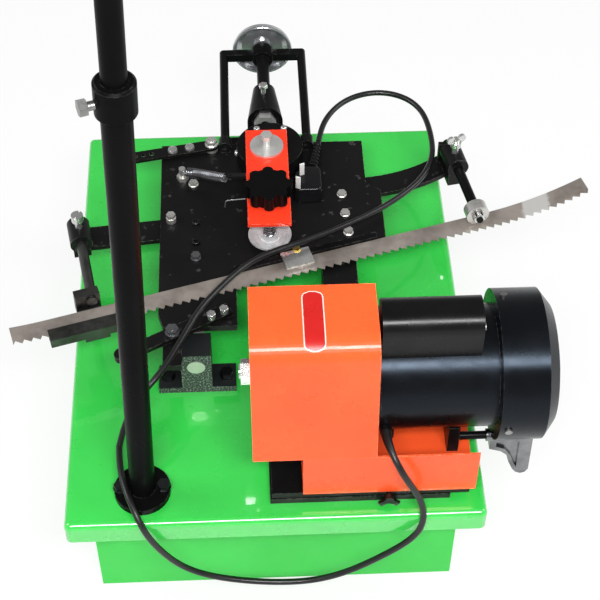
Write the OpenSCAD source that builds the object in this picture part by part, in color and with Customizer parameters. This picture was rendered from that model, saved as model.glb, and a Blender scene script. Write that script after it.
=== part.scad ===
// Bench sharpener for bandsaw blades: a sheet-steel cabinet carries a grinding motor on a cross slide,
// a bed that a handwheel feeds towards the grinding wheel, and a post that holds up the blade's loop.
// Millimetres. X runs left to right, Y away from the operator, Z up. The origin is the middle of the
// cabinet's bottom face. Every module below is drawn with Z counted from the deck's top face.

/* [Cabinet] */
// Width of the deck, left to right
deck_w = 450; // [440:1:500]
// Depth of the deck, front to back
deck_l = 600; // [590:1:660]
// Height of the deck's top face above the floor
cabinet_h = 172; // [140:1:260]
// Height of the deck's folded lip
deck_lip = 28; // [16:1:60]
// Outer radius of the deck's folded edge
deck_bend = 7; // [4:0.5:12]
// Thickness of the sheet steel
sheet = 2; // [1:0.5:3]
// How far the cabinet's side walls stand in from the deck's edge
inset_side = 25; // [10:1:40]
// How far the cabinet's end walls stand in from the deck's edge
inset_end = 34; // [10:1:50]

/* [Post] */
// Post's place, left to right
post_x = -142; // [-170:1:-130]
// Post's place, front to back
post_y = -257; // [-262:1:-240]
// Lean of the post to the right, in degrees
post_lean = 2; // [0:0.5:4]
// Outside diameter of the lower tube
post_od = 27; // [26:0.5:32]
// Length of the lower tube
post_h = 570; // [400:5:700]
// Outside diameter of the inner tube
inner_od = 22; // [18:0.5:23]
// Wall of the inner tube
inner_wall = 2; // [1.5:0.5:3]
// Length of the inner tube
inner_len = 270; // [220:5:340]
// Length of the inner tube inside the lower one
inner_engaged = 165; // [140:5:200]
// Outside diameter of the clamp collar
collar_od = 36; // [34:1:44]
// Height of the clamp collar
collar_h = 34; // [32:1:60]
// Thickness of the collar's cap above the lower tube
collar_cap = 7; // [4:1:12]
// Diameter of the foot flange
flange_d = 60; // [58:1:70]
// Thickness of the foot flange
flange_t = 8; // [5:1:12]
// Distance between the flange's two bolts
flange_pitch = 46; // [44:1:50]

/* [Fasteners and fits] */
// Radial clearance of a turning or sliding round fit
run_fit = 0.05; // [0.02:0.01:0.1]
// Radial clearance of a round seat that doesn't move
seat_fit = 0.02; // [0.01:0.01:0.05]
// Gap between faces of pieces that move past each other
gap = 0.3; // [0.2:0.05:0.6]
// Radial clearance of a bolt in its hole
bolt_fit = 0.4; // [0.2:0.1:0.8]
// Diameter of the deck bolts and clamp screws
bolt_d = 8; // [6:1:10]
// Diameter of the bed's screws
screw_d = 6; // [4:1:6]

/* [Bed guide] */
// Diameter of the guide shafts
shaft_d = 20; // [16:1:22]
// Sideways place of each guide shaft
shaft_x = 83; // [78:1:86]
// Height of the guide shafts
shaft_z = 45; // [40:1:48]
// Width of a pedestal's upright
pedestal_w = 34; // [30:1:40]
// Depth of a pedestal, front to back
pedestal_d = 33; // [30:1:36]
// Height of a pedestal
pedestal_h = 64; // [62:1:70]
// Width of a pedestal's foot
foot_w = 87; // [84:1:92]
// Thickness of a pedestal's foot
foot_t = 9; // [6:1:14]
// Distance between a foot's two bolts
foot_pitch = 66; // [64:1:70]
// Front face of the front pedestals
front_pedestal_y = -125; // [-130:1:-122]
// Front face of the rear pedestals
rear_pedestal_y = 175; // [172:1:182]
// Sideways size of a slide block
block_w = 40; // [34:1:44]
// Length of a slide block
block_l = 40; // [30:1:42]
// Height of a slide block
block_h = 38; // [36:1:42]
// Middle of the front slide blocks
front_block_y = -12; // [-13:1:10]
// Middle of the rear slide blocks
rear_block_y = 140; // [120:1:145]

/* [Bed] */
// Thickness of the bed plate
bed_t = 8; // [6:1:12]
// Room between the pedestals and the bed plate
bed_lift = 3; // [2:0.5:6]
// Left edge of the bed plate
bed_left = -124; // [-130:1:-120]
// Right edge of the bed plate at the back
bed_right_back = 122; // [116:1:128]
// Right edge of the bed plate at the front
bed_right_front = 139; // [132:1:146]
// Back edge of the bed plate
bed_back = 200; // [198:1:206]
// Front edge of the bed's left tongue
bed_front = -92; // [-100:1:-85]
// Front end of the strip that carries the stop lever
strip_front = -146; // [-150:1:-124]
// Left edge of that strip
strip_left = -118; // [-120:1:-116]
// Right edge of that strip
strip_right = -97; // [-99:1:-94]
// Right edge of the bed's left tongue
tongue_right = -36; // [-44:1:-34]
// Where the right edge steps out
bed_step_y = 114; // [108:1:120]
// Depth of the bed under the blade
blade_ledge = 14; // [8:1:18]

/* [Infeed] */
// Sideways place of the screw, the yoke and the feed lever
head_x = 4; // [2:1:6]
// Height of the screw above the bed's top
screw_lift = 7; // [6.5:0.5:9]
// Diameter of the feed screw
screw_od = 16; // [14:1:18]
// Diameter of the feed screw's journals
journal_d = 12; // [10:1:13]
// Diameter of the yoke rods
yoke_rod_d = 11; // [10:1:12]
// Distance between the yoke rods
yoke_span = 100; // [99:1:104]
// Back face of the yoke's crossbar
yoke_back = 364; // [362:1:376]
// Thickness of the crossbar
crossbar_t = 11; // [10:1:14]
// Diameter of the crossbar's boss
yoke_boss_d = 26; // [24:1:32]
// Back face of the screw bracket
bracket_back = 288; // [284:1:290]
// Depth of the screw bracket
bracket_depth = 56; // [50:1:58]
// Width of the bracket at its front
bracket_w = 44; // [40:1:50]
// Width of the bracket at its back
bracket_back_w = 28; // [24:1:34]
// Diameter of the handwheel
wheel_d = 77; // [70:1:90]

/* [Blade and guides] */
// Angle of the blade across the bed, in degrees
blade_angle = 16; // [14:0.5:17]
// Where the blade's back edge crosses the middle
blade_y0 = -5; // [-7:0.5:-3]
// Width of the blade, teeth included
blade_w = 25; // [22:0.5:27]
// Thickness of the blade
blade_t = 0.9; // [0.7:0.1:1.2]
// Pitch of the teeth
tooth_pitch = 10; // [8:1:14]
// Depth of the teeth
tooth_depth = 5; // [3:0.5:6]
// Straight length of blade to the left of the middle
blade_left = 262; // [250:2:280]
// Straight length of blade to the right of the middle
blade_right = 268; // [262:2:290]
// Length of each end that curves up
blade_tail = 134; // [110:2:160]
// Radius of the curved ends
blade_curl_r = 370; // [340:10:500]
// Plan angle of the two guide rods, in degrees
rod_angle = 10.5; // [9:0.5:12]
// Diameter of the guide rods
rod_d = 12; // [10:1:12]
// Outside diameter of the rod clamps
clamp_od = 26; // [24:1:30]
// Diameter of the guide roller
roller_d = 27; // [24:1:30]
// Width of the guide roller
roller_w = 14; // [10:1:16]

/* [Feed head] */
// Diameter of the feed housing
housing_d = 80; // [72:1:80]
// Height of the feed housing
housing_h = 25; // [20:1:28]
// Width of the feed lever
lever_w = 50; // [44:1:54]
// Front end of the feed lever
lever_front = 28; // [26:1:34]
// Back end of the feed lever
lever_back = 186; // [180:1:190]
// Thickness of the feed lever
lever_t = 4; // [3:0.5:6]
// Height of the lever's underside above the bed
lever_lift = 31.3; // [30:0.1:34]
// Place of the lever's pivot, front to back
pivot_y = 156; // [152:1:158]
// Diameter of the lever's pivot bolt
pivot_d = 8; // [8:1:12]
// Place of the star knob, front to back
knob_y = 74; // [71:1:80]
// Diameter of the star knob
knob_d = 55; // [48:1:57]
// Place of the presser, front to back
presser_y = 36; // [35:1:40]
// Diameter of the presser cup
cup_d = 50; // [40:1:52]

/* [Grinding head] */
// Place of the motor's axis, front to back
motor_y = -187; // [-190:1:-184]
// Height of the motor's axis
motor_z = 113; // [111:1:117]
// Outside diameter of the motor's shell
shell_d = 130; // [126:1:134]
// Wall of the motor's shell
shell_wall = 4; // [3:0.5:5]
// Left end of the motor's shell
shell_left = 109; // [107:1:112]
// Length of the motor's shell
shell_len = 121; // [118:1:128]
// Diameter of the fan cover
fan_cover_d = 160; // [154:1:164]
// Length of the fan cover
fan_cover_len = 64; // [60:1:70]
// Diameter of the motor's shaft in its bearings
motor_shaft_d = 17; // [15:1:18]
// Diameter of the arbor that holds the wheel
arbor_d = 16; // [14:1:16]
// Diameter of the grinding wheel
grind_d = 160; // [120:1:164]
// Thickness of the grinding wheel
grind_t = 10; // [6:1:12]
// Left face of the grinding wheel
grind_left = -17; // [-18:1:-15]
// Left edge of the hood
hood_left = -23; // [-25:1:-22]
// Right edge of the hood
hood_right = 105; // [103:1:106]
// Height of the hood's top
hood_top = 230; // [224:1:240]
// Back edge of the hood's top
hood_back = -172; // [-180:1:-165]
// Radius of the hood's bend
hood_bend = 26; // [18:1:34]
// Front face of the hood and tray
tray_front = -279; // [-282:1:-279]
// Height of the tray's front wall
tray_wall_z = 80; // [72:1:86]
// Left end of the tray
tray_left = 29; // [24:1:34]
// Right end of the tray
tray_right = 212; // [210:1:220]
// Left end of the slide rail
rail_left = -6; // [-6:1:0]
// Length of the slide rail
rail_len = 192; // [180:1:200]
// Width of the slide rail
rail_w = 122; // [118:1:124]
// Thickness of the slide rail
rail_t = 8; // [6:1:8]
// Height of the carriage's top face
carriage_top = 17; // [16:0.5:18]
// Diameter of the clamp rod
clamp_rod_d = 9; // [8:1:10]

/* [Lead] */
// Diameter of the mains lead
lead_d = 7; // [6:0.5:8]

/* [Hidden] */
$fn = 48;

// Heights above the deck
bed_z = pedestal_h + bed_lift;
bed_top = bed_z + bed_t;
screw_z = bed_top + screw_lift;
lever_z = bed_top + lever_lift;
lever_top = lever_z + lever_t;
blade_z = bed_top + 0.2;
blade_top = blade_z + blade_t;
fence_top = bed_top + 5;

// Fastener proportions, as shares of the bolt's diameter
function hex_af(d) = 1.6 * d;
function head_h(d) = 0.65 * d;
function washer_d(d) = 2 * d;
washer_t = 1.6;

// Post: a place along its leaning axis
post_id = inner_od + 2 * run_fit;
post_screw_s = post_h - collar_h + collar_cap + 14;
post_screw_turn = 200;

// Place of the blade's back edge, front to back, at a sideways place
function blade_back(x) = blade_y0 + x * tan(blade_angle);

// Clamps that hold the two guide rods
right_clamp = [230, 147];
left_clamp = [-216, 46];
roller_rod_z = blade_top + 0.4 + roller_d / 2;
shoe_rod_z = bed_top + 9;
clamp_len = 34;
rod_tail = 30;
roller_reach = 90;
shoe_x = -200;

// Screws on the bed: x, y, thread diameter, spacer under the head, head height
bed_screw_list = [
    [-85, 132, screw_d, 0.5, 3.5],
    [-111, 72, screw_d, 6, 5],
    [-82, 12, screw_d, 1, 5],
    [92, 108, screw_d, 0.5, 3],
    [94, 76, screw_d, 0.5, 3],
    [96, 45, screw_d, 1, 4]
];
yoke_socket_wall = 2.5;
yoke_socket_r = yoke_rod_d / 2 + yoke_socket_wall;
link_clear = 1;
link_pivot = [head_x - yoke_span / 2 - yoke_socket_r - washer_d(bolt_d) / 2 - link_clear, 192];
link_z = bed_top + 4;
link_t = 4;
link_angle = 191;
link_len = 100;
link_w = 16;
stop_pivot = [-107.5, -104];
stop_angle = 28;
stop_t = 6;
spring_post = [-98, 142];
spring_post_z = bed_top + 17;

// Grinding head
motor_axis = [motor_y, motor_z];
shell_right = shell_left + shell_len;
bearing_od = 40;
bearing_t = 12;
shield_t = 4;
spigot_t = 10;
clamp_rod_y = -219;
handle_hub_d = 14;
hub_clear = 1.5;
clamp_rod_r = (fan_cover_d + handle_hub_d) / 2 + hub_clear;
clamp_rod_z = motor_z - sqrt(pow(clamp_rod_r, 2) - pow(motor_y - clamp_rod_y, 2));
tray_sheet = 2;
tray_back = -150;
dove_y = -196;
dove_root = 30;
dove_top = 38;
dove_h = 5;
lock_x = 120;

module hex(af, h) {
    cylinder(d = af / cos(30), h = h, $fn = 6);
}

// Block centred in X and Y, standing on Z = 0
module block(w, l, h) {
    translate([-w / 2, -l / 2, 0]) cube([w, l, h]);
}

// Cylinder along +X from x0 to x1 on the motor's axis or another axis
module along_x(x0, x1, d, axis = motor_axis) {
    translate([x0, axis[0], axis[1]]) rotate([0, 90, 0]) cylinder(d = d, h = x1 - x0);
}

// Cylinder along +Y from y0 to y1
module along_y(y0, y1, d, x, z) {
    translate([x, y0, z]) rotate([-90, 0, 0]) cylinder(d = d, h = y1 - y0);
}

// Hexagon bolt with its washer, seated at Z = 0
module hex_bolt(d, reach) {
    cylinder(d = washer_d(d), h = washer_t);
    translate([0, 0, washer_t]) hex(hex_af(d), head_h(d));
    translate([0, 0, -reach]) cylinder(d = d, h = reach + washer_t);
}

// Frame along the post's leaning axis
module on_post() {
    translate([post_x, post_y, 0]) rotate([0, post_lean, 0]) children();
}

// Frame of the blade: X along it from its middle, Y towards its back
module on_blade() {
    translate([0, blade_y0, 0]) rotate(blade_angle) children();
}

// Frame of a guide rod: +Z along the rod, towards the blade
module on_rod(spot, z) {
    translate([spot[0], spot[1], z]) rotate([90, 0, rod_angle]) children();
}

/* Cabinet and deck */

cab_w = deck_w - 2 * inset_side;
cab_l = deck_l - 2 * inset_end;

module cabinet() {
    color("limegreen") translate([0, 0, -cabinet_h]) difference() {
        block(cab_w, cab_l, cabinet_h - sheet);
        translate([0, 0, sheet]) block(cab_w - 2 * sheet, cab_l - 2 * sheet, cabinet_h);
    }
}

// Section of the folded edge: X outwards, Y up, bend centre at the origin
module fold_section() {
    intersection() {
        difference() {
            circle(r = deck_bend);
            circle(r = deck_bend - sheet);
        }
        square(deck_bend);
    }
    translate([deck_bend - sheet, deck_bend - deck_lip]) square([sheet, deck_lip - deck_bend]);
}

module fold(length) {
    rotate([90, 0, 0]) linear_extrude(length, center = true) fold_section();
}

pedestal_spots = [
    for (y = [front_pedestal_y, rear_pedestal_y]) for (side = [-1, 1]) [side * shaft_x, y + pedestal_d / 2]
];
bracket_foot_w = bracket_w + 44;
bracket_foot_t = 8;
bracket_bolt_pitch = bracket_foot_w - 20;
bracket_y = bracket_back - bracket_depth / 2;

// Every deck bolt: x, y and the height of its seat
deck_bolt_list = concat(
    [for (side = [-1, 1]) [post_x + side * flange_pitch / 2, post_y, flange_t]],
    [for (p = pedestal_spots) for (side = [-1, 1]) [p[0] + side * foot_pitch / 2, p[1], foot_t]],
    [for (side = [-1, 1]) [head_x + side * bracket_bolt_pitch / 2, bracket_y, bracket_foot_t]]
);
deck_bolt_reach = 12;

module deck_bolt_holes(z0, z1) {
    for (b = deck_bolt_list)
        translate([b[0], b[1], z0]) cylinder(d = bolt_d + 2 * bolt_fit, h = z1 - z0);
}

module deck() {
    span_x = deck_w - 2 * deck_bend;
    span_y = deck_l - 2 * deck_bend;
    color("limegreen") difference() {
        union() {
            translate([0, 0, -sheet]) block(span_x, span_y, sheet);
            for (side = [0, 180]) {
                rotate(side) translate([span_x / 2, 0, -deck_bend]) fold(span_y);
                rotate(side + 90) translate([span_y / 2, 0, -deck_bend]) fold(span_x);
            }
            for (turn = [0 : 3]) {
                corner = [[1, 1], [-1, 1], [-1, -1], [1, -1]][turn];
                translate([corner[0] * span_x / 2, corner[1] * span_y / 2, -deck_bend])
                    rotate(90 * turn) rotate_extrude(angle = 90) fold_section();
            }
        }
        deck_bolt_holes(-sheet - 1, 1);
    }
}

module deck_bolts() {
    color("dimgray") for (b = deck_bolt_list)
        translate(b) hex_bolt(bolt_d, b[2] + deck_bolt_reach);
}

/* Post */

module post_tube() {
    floor_t = flange_t / 2;
    color("black") difference() {
        union() {
            translate([post_x, post_y, 0]) cylinder(d = flange_d, h = flange_t);
            on_post() translate([0, 0, floor_t]) cylinder(d = post_od, h = post_h - floor_t);
        }
        on_post() translate([0, 0, flange_t]) cylinder(d = post_id, h = post_h);
        on_post() post_screw_bore();
        deck_bolt_holes(-1, flange_t + 1);
    }
}

// Frame of the collar's screw: +Z outwards
module on_post_screw() {
    translate([0, 0, post_screw_s]) rotate([0, 90, post_screw_turn]) children();
}

module post_screw_bore() {
    on_post_screw() cylinder(d = bolt_d + 2 * run_fit, h = collar_od);
}

module post_collar() {
    collar_edge = 2;
    color("black") on_post() difference() {
        translate([0, 0, post_h - collar_h + collar_cap]) rotate_extrude() polygon([
            [0, 0], [collar_od / 2 - collar_edge, 0], [collar_od / 2, collar_edge],
            [collar_od / 2, collar_h - collar_edge], [collar_od / 2 - collar_edge, collar_h], [0, collar_h]
        ]);
        translate([0, 0, post_h - collar_h]) cylinder(d = post_od + 2 * seat_fit, h = collar_h);
        cylinder(d = inner_od + 2 * run_fit, h = post_h + collar_h);
        post_screw_bore();
    }
}

module inner_tube() {
    color("black") on_post() translate([0, 0, post_h - inner_engaged]) difference() {
        cylinder(d = inner_od, h = inner_len);
        translate([0, 0, -1]) cylinder(d = inner_od - 2 * inner_wall, h = inner_len - inner_wall + 1);
    }
}

module post_screw() {
    tip = inner_od / 2 + gap;
    seat = collar_od / 2 + 6;
    color("silver") on_post() on_post_screw() {
        translate([0, 0, tip]) cylinder(d = bolt_d, h = seat - tip + 1);
        translate([0, 0, seat]) hex(hex_af(bolt_d), head_h(bolt_d) + 2);
    }
}

/* Bed guide */

module pedestal() {
    difference() {
        union() {
            block(foot_w, pedestal_d, foot_t);
            block(pedestal_w, pedestal_d, pedestal_h);
        }
        along_y(-pedestal_d, pedestal_d, shaft_d + 2 * seat_fit, 0, shaft_z);
        for (side = [-1, 1])
            translate([side * foot_pitch / 2, 0, -1]) cylinder(d = bolt_d + 2 * bolt_fit, h = foot_t + 2);
    }
}

module front_pedestals() {
    color("darkslategray") for (side = [-1, 1])
        translate([side * shaft_x, front_pedestal_y + pedestal_d / 2, 0]) pedestal();
}

module rear_pedestals() {
    color("darkslategray") for (side = [-1, 1])
        translate([side * shaft_x, rear_pedestal_y + pedestal_d / 2, 0]) pedestal();
}

module guide_shafts() {
    color("lightgray") for (side = [-1, 1])
        along_y(front_pedestal_y - 1, rear_pedestal_y + pedestal_d + 1, shaft_d, side * shaft_x, shaft_z);
}

module slide_blocks() {
    color("dimgray") for (side = [-1, 1]) for (y = [front_block_y, rear_block_y]) difference() {
        translate([side * shaft_x, y, bed_z - block_h]) block(block_w, block_l, block_h);
        along_y(y - block_l, y + block_l, shaft_d + 2 * run_fit, side * shaft_x, shaft_z);
    }
}

/* Infeed screw, its bracket and the yoke */

bracket_front = bracket_back - bracket_depth;
screw_nut_t = 9;
screw_nut_af = 2 * journal_d;

// Cone round the screw on a tapered web, with a shallow round recess for the nut
module screw_bracket() {
    recess_d = screw_nut_af / cos(30) + 4;
    color("black") difference() {
        union() {
            translate([head_x, bracket_y, 0]) block(bracket_foot_w, bracket_depth - 8, bracket_foot_t);
            linear_extrude(screw_z) polygon([
                [head_x - bracket_w / 2, bracket_front], [head_x + bracket_w / 2, bracket_front],
                [head_x + bracket_back_w / 2, bracket_back], [head_x - bracket_back_w / 2, bracket_back]
            ]);
            translate([head_x, bracket_front, screw_z]) rotate([-90, 0, 0])
                cylinder(d1 = bracket_w, d2 = bracket_back_w, h = bracket_depth);
        }
        along_y(bracket_front - 1, screw_seat, recess_d, head_x, screw_z);
        along_y(bracket_front, bracket_back + 1, journal_d + 2 * run_fit, head_x, screw_z);
        for (side = [-1, 1])
            translate([head_x + side * bracket_bolt_pitch / 2, bracket_y, -1])
                cylinder(d = bolt_d + 2 * bolt_fit, h = bracket_foot_t + 2);
    }
}

screw_seat = bracket_front + 3;
wheel_seat = yoke_back + 3;
wheel_hub_t = 18;

module feed_screw() {
    color("dimgray") {
        along_y(screw_seat - gap - screw_nut_t, bracket_back + gap + 1, journal_d, head_x, screw_z);
        along_y(bracket_back + gap, wheel_seat, screw_od, head_x, screw_z);
        along_y(wheel_seat - 1, wheel_seat + wheel_hub_t, journal_d - 2, head_x, screw_z);
    }
}

module screw_nut() {
    color("silver") difference() {
        translate([head_x, screw_seat - gap, screw_z]) rotate([90, 0, 0]) hex(screw_nut_af, screw_nut_t);
        along_y(screw_seat - 30, screw_seat, journal_d + 2 * seat_fit, head_x, screw_z);
    }
}

// Deep dish turned about Y: hub, web behind it, and a rim that comes forward
module handwheel() {
    r = wheel_d / 2;
    hub_r = 13;
    rim_t = 3;
    web_t = 3;
    dish = wheel_hub_t - 4;
    bore = journal_d / 2 - 1 + seat_fit;
    color("silver") translate([head_x, wheel_seat, screw_z]) rotate([-90, 0, 0]) rotate_extrude() polygon([
        [bore, dish - 7], [hub_r - 2, dish - 7], [hub_r, dish - 5], [hub_r, dish - web_t],
        [r - 12, dish - web_t], [r - rim_t - 3, dish - web_t - 4],
        [r - rim_t, 2], [r - rim_t, 1], [r - rim_t + 1, 0], [r - 1, 0], [r, 1], [r, 3],
        [r - 2, dish - 4], [r - 8, dish], [hub_r, dish], [hub_r, wheel_hub_t], [bore, wheel_hub_t]
    ]);
}

yoke_rods_x = [head_x - yoke_span / 2, head_x + yoke_span / 2];
yoke_boss_len = 20;
yoke_socket = 11;
yoke_socket_len = 14;

module screw_yoke() {
    boss_y = yoke_back - crossbar_t / 2;
    color("black") difference() {
        union() {
            for (x = yoke_rods_x) along_y(bed_back - yoke_socket, yoke_back, yoke_rod_d, x, screw_z);
            translate([head_x, boss_y, screw_z - crossbar_t / 2]) block(yoke_span, crossbar_t, crossbar_t);
            along_y(boss_y - yoke_boss_len / 2, boss_y + yoke_boss_len / 2, yoke_boss_d, head_x, screw_z);
        }
        along_y(boss_y - yoke_boss_len, boss_y + yoke_boss_len, screw_od + 2 * run_fit, head_x, screw_z);
    }
}

/* Bed */

function bed_edge(x) = blade_back(x) - blade_ledge / cos(blade_angle);

module bed_plate() {
    color("black") difference() {
        union() {
            translate([0, 0, bed_z]) linear_extrude(bed_t) polygon([
                [bed_left, bed_front + 20], [strip_left, bed_front], [strip_left, strip_front],
                [strip_right, strip_front], [strip_right, bed_front], [tongue_right, bed_front],
                [tongue_right, bed_edge(tongue_right)], [bed_right_front, bed_edge(bed_right_front)],
                [bed_right_front, bed_step_y], [bed_right_back, bed_step_y + 14],
                [bed_right_back, bed_back], [bed_left, bed_back]
            ]);
            for (x = yoke_rods_x) {
                along_y(bed_back - yoke_socket_len, bed_back, 2 * yoke_socket_r, x, screw_z);
                translate([x, bed_back - yoke_socket_len / 2, bed_top - 1])
                    block(yoke_rod_d, yoke_socket_len, screw_lift + 1);
            }
        }
        for (x = yoke_rods_x)
            along_y(bed_back - yoke_socket, bed_back + 1, yoke_rod_d + 2 * seat_fit, x, screw_z);
        for (s = bed_screw_list)
            translate([s[0], s[1], bed_z - 1]) cylinder(d = s[2] + 2 * bolt_fit, h = bed_t + 2);
        for (p = [link_pivot, stop_pivot, spring_post])
            translate([p[0], p[1], bed_z - 1]) cylinder(d = bolt_d + 2 * seat_fit, h = bed_t + 2);
    }
}

// Pivot stud with a nut above the piece that turns on it
module pivot_stud(spot, top) {
    translate([spot[0], spot[1], bed_z]) cylinder(d = bolt_d, h = top - bed_z + 8);
    translate([spot[0], spot[1], top]) cylinder(d = washer_d(bolt_d), h = washer_t);
    translate([spot[0], spot[1], top + washer_t]) hex(hex_af(bolt_d), head_h(bolt_d));
}

module bed_screws() {
    color("silver") {
        for (s = bed_screw_list) translate([s[0], s[1], 0]) {
            translate([0, 0, bed_z]) cylinder(d = s[2], h = bed_t + s[3]);
            translate([0, 0, bed_top]) cylinder(d = washer_d(s[2]), h = s[3]);
            translate([0, 0, bed_top + s[3]]) hex(hex_af(s[2]), s[4]);
        }
        pivot_stud(link_pivot, link_z + link_t + gap);
        translate([link_pivot[0], link_pivot[1], bed_top])
            cylinder(d = washer_d(bolt_d), h = link_z - gap - bed_top);
        pivot_stud(stop_pivot, bed_top + gap + stop_t + gap);
        translate([spring_post[0], spring_post[1], bed_z]) cylinder(d = bolt_d, h = spring_post_z - bed_z);
        translate([spring_post[0], spring_post[1], bed_top]) hex(hex_af(bolt_d), head_h(bolt_d));
    }
}

module blade_fence() {
    color("black") on_blade() translate([tongue_right - 2, gap, bed_top])
        cube([bed_right_front - tongue_right - 3, 8, fence_top - bed_top]);
}

module hold_down() {
    color("gainsboro") on_blade() {
        translate([18, -16, fence_top]) cube([34, 16 + gap + 8, 3]);
        translate([20, -14, blade_top + gap]) cube([30, 12, fence_top - blade_top - gap + 1]);
    }
}

/* Arms and blade guides */

arm_t = 6;
arm_r = 199;
arm_w = 30;
arm_centre = [106, 327];

// Clamp barrel with its rod bore and its screw hole, in the rod's frame
module clamp_bores(spot, z) {
    on_rod(spot, z) translate([0, 0, -clamp_len]) cylinder(d = rod_d + 2 * run_fit, h = 2 * clamp_len);
    translate([spot[0], spot[1], z]) cylinder(d = bolt_d + 2 * run_fit, h = clamp_od);
}

module clamp_barrel(spot, z) {
    on_rod(spot, z) translate([0, 0, -clamp_len / 2]) cylinder(d = clamp_od, h = clamp_len);
    translate([spot[0], spot[1], bed_z - arm_t]) rotate(rod_angle)
        block(clamp_od - 6, clamp_len - 6, z - bed_z + arm_t);
}

module right_arm() {
    ear = [14, 6, 30];
    color("black") difference() {
        union() {
            translate([arm_centre[0], arm_centre[1], bed_z - arm_t]) rotate(-86.5)
                rotate_extrude(angle = 36) translate([arm_r - arm_w / 2, 0]) square([arm_w, arm_t]);
            clamp_barrel(right_clamp, roller_rod_z);
            translate([right_clamp[0] - 17, right_clamp[1] + 19, bed_z - 1]) cube(ear);
        }
        clamp_bores(right_clamp, roller_rod_z);
    }
}

module left_arm() {
    left_arm_w = 32;
    reach = bed_left - left_clamp[0] + 24;
    color("black") difference() {
        union() {
            translate([left_clamp[0], left_clamp[1] + 10, bed_z - arm_t]) rotate(6)
                translate([0, -left_arm_w / 2, 0]) cube([reach, left_arm_w, arm_t]);
            clamp_barrel(left_clamp, shoe_rod_z);
        }
        clamp_bores(left_clamp, shoe_rod_z);
    }
}

module roller_rod() {
    axle_d = bolt_d;
    shoulder = roller_reach - roller_w / 2 - gap;
    color("black") on_rod(right_clamp, roller_rod_z) {
        translate([0, 0, -rod_tail]) cylinder(d = rod_d, h = rod_tail + shoulder);
        cylinder(d = axle_d, h = shoulder + roller_w + 2 * gap + 8);
        translate([0, 0, shoulder + roller_w + 2 * gap]) hex(hex_af(axle_d), head_h(axle_d));
    }
}

module roller() {
    color("silver") on_rod(right_clamp, roller_rod_z) translate([0, 0, roller_reach - roller_w / 2])
        difference() {
            cylinder(d = roller_d, h = roller_w);
            translate([0, 0, -1]) cylinder(d = bolt_d + 2 * run_fit, h = roller_w + 2);
        }
}

// Grooved shoe that steadies the teeth, with the block and rod that carry it
module guide_shoe() {
    shoe_left = -52;
    shoe_right = 38;
    shoe_h = 12;
    groove_z = blade_z - 0.8;
    groove_h = blade_t + 1.8;
    shoe_front = -blade_w - 11;
    groove_floor = -blade_w - 6;
    shoe_back = -blade_w + 6;
    block_back = 18;
    base_z = groove_z - 5;
    rod_len = 106;
    color("dimgray") {
        translate([shoe_x, blade_back(shoe_x), 0]) rotate(blade_angle) difference() {
            union() {
                translate([shoe_left, shoe_front, base_z])
                    cube([shoe_right - shoe_left, shoe_back - shoe_front, shoe_h]);
                translate([-14, shoe_front, base_z - 5]) cube([28, block_back - shoe_front, 6]);
                translate([-14, 6, base_z - 5]) cube([28, block_back - 6, shoe_rod_z + 8 - base_z + 5]);
            }
            translate([2 * shoe_left, groove_floor, groove_z]) cube([-4 * shoe_left, blade_w, groove_h]);
        }
        on_rod(left_clamp, shoe_rod_z) translate([0, 0, -rod_tail]) cylinder(d = rod_d, h = rod_tail + rod_len);
    }
}

// Clamp screw that stands on a rod, with a head at its top
module clamp_screw_shank(spot, z, top) {
    translate([spot[0], spot[1], z + rod_d / 2 + gap]) cylinder(d = bolt_d, h = top - z - rod_d / 2 - gap);
}

module right_clamp_screw() {
    top = roller_rod_z + 34;
    color("silver") {
        clamp_screw_shank(right_clamp, roller_rod_z, top);
        translate([right_clamp[0], right_clamp[1], top - 12]) {
            cylinder(d = 13, h = 7);
            for (side = [-1, 1]) rotate([90, -25 * side, 20]) linear_extrude(3.5, center = true) hull() {
                translate([side * 4, 4]) circle(r = 3);
                translate([side * 11, 7]) circle(r = 5);
            }
        }
    }
}

module left_clamp_screw() {
    top = shoe_rod_z + 32;
    color("silver") {
        clamp_screw_shank(left_clamp, shoe_rod_z, top);
        translate([left_clamp[0], left_clamp[1], top - 9]) difference() {
            cylinder(d = 14, h = 9);
            rotate(70) translate([-8, -1, 6]) cube([16, 2, 4]);
        }
    }
}

module stop_lever() {
    stop_w = 16;
    left_len = 62;
    right_len = 72;
    color("black") translate([stop_pivot[0], stop_pivot[1], bed_top + gap]) rotate(stop_angle) difference() {
        union() {
            translate([-left_len, -stop_w / 2, 0]) cube([left_len + right_len, stop_w, stop_t]);
            translate([-left_len, 0, 0]) cylinder(d = stop_w, h = stop_t + 2);
        }
        translate([0, 0, -1]) cylinder(d = bolt_d + 2 * run_fit, h = stop_t + 2);
    }
}

/* Blade: sections at each tip and each gullet, joined into one closed strip */

left_tail_share = 0.28;
blade_from = -blade_left - blade_tail * left_tail_share;
blade_to = blade_right + blade_tail;
tooth_count = floor((blade_to - blade_from) / tooth_pitch);
gullet_share = 0.3;
blade_stations = [
    for (i = [0 : tooth_count - 1]) for (k = [0, 1])
        [blade_from + (i + k * gullet_share) * tooth_pitch, blade_w - k * tooth_depth]
];

// Height and slope of the strip at a place along it
function curl(s) = s > blade_right ? (s - blade_right) / blade_curl_r
    : s < -blade_left ? (s + blade_left) / blade_curl_r : 0;
function strip_x(s) = s > blade_right ? blade_right + blade_curl_r * sin(deg(curl(s)))
    : s < -blade_left ? -blade_left + blade_curl_r * sin(deg(curl(s))) : s;
function strip_z(s) = blade_curl_r * (1 - cos(deg(curl(s))));
function deg(a) = a * 180 / PI;

// Four corners of a section: back bottom, front bottom, front top, back top
function blade_section(st) = let (
    a = deg(curl(st[0])), x = strip_x(st[0]), z = blade_z + strip_z(st[0]),
    up = [-sin(a) * blade_t, 0, cos(a) * blade_t]
) [[x, 0, z], [x, -st[1], z], [x, -st[1], z] + up, [x, 0, z] + up];

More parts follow.
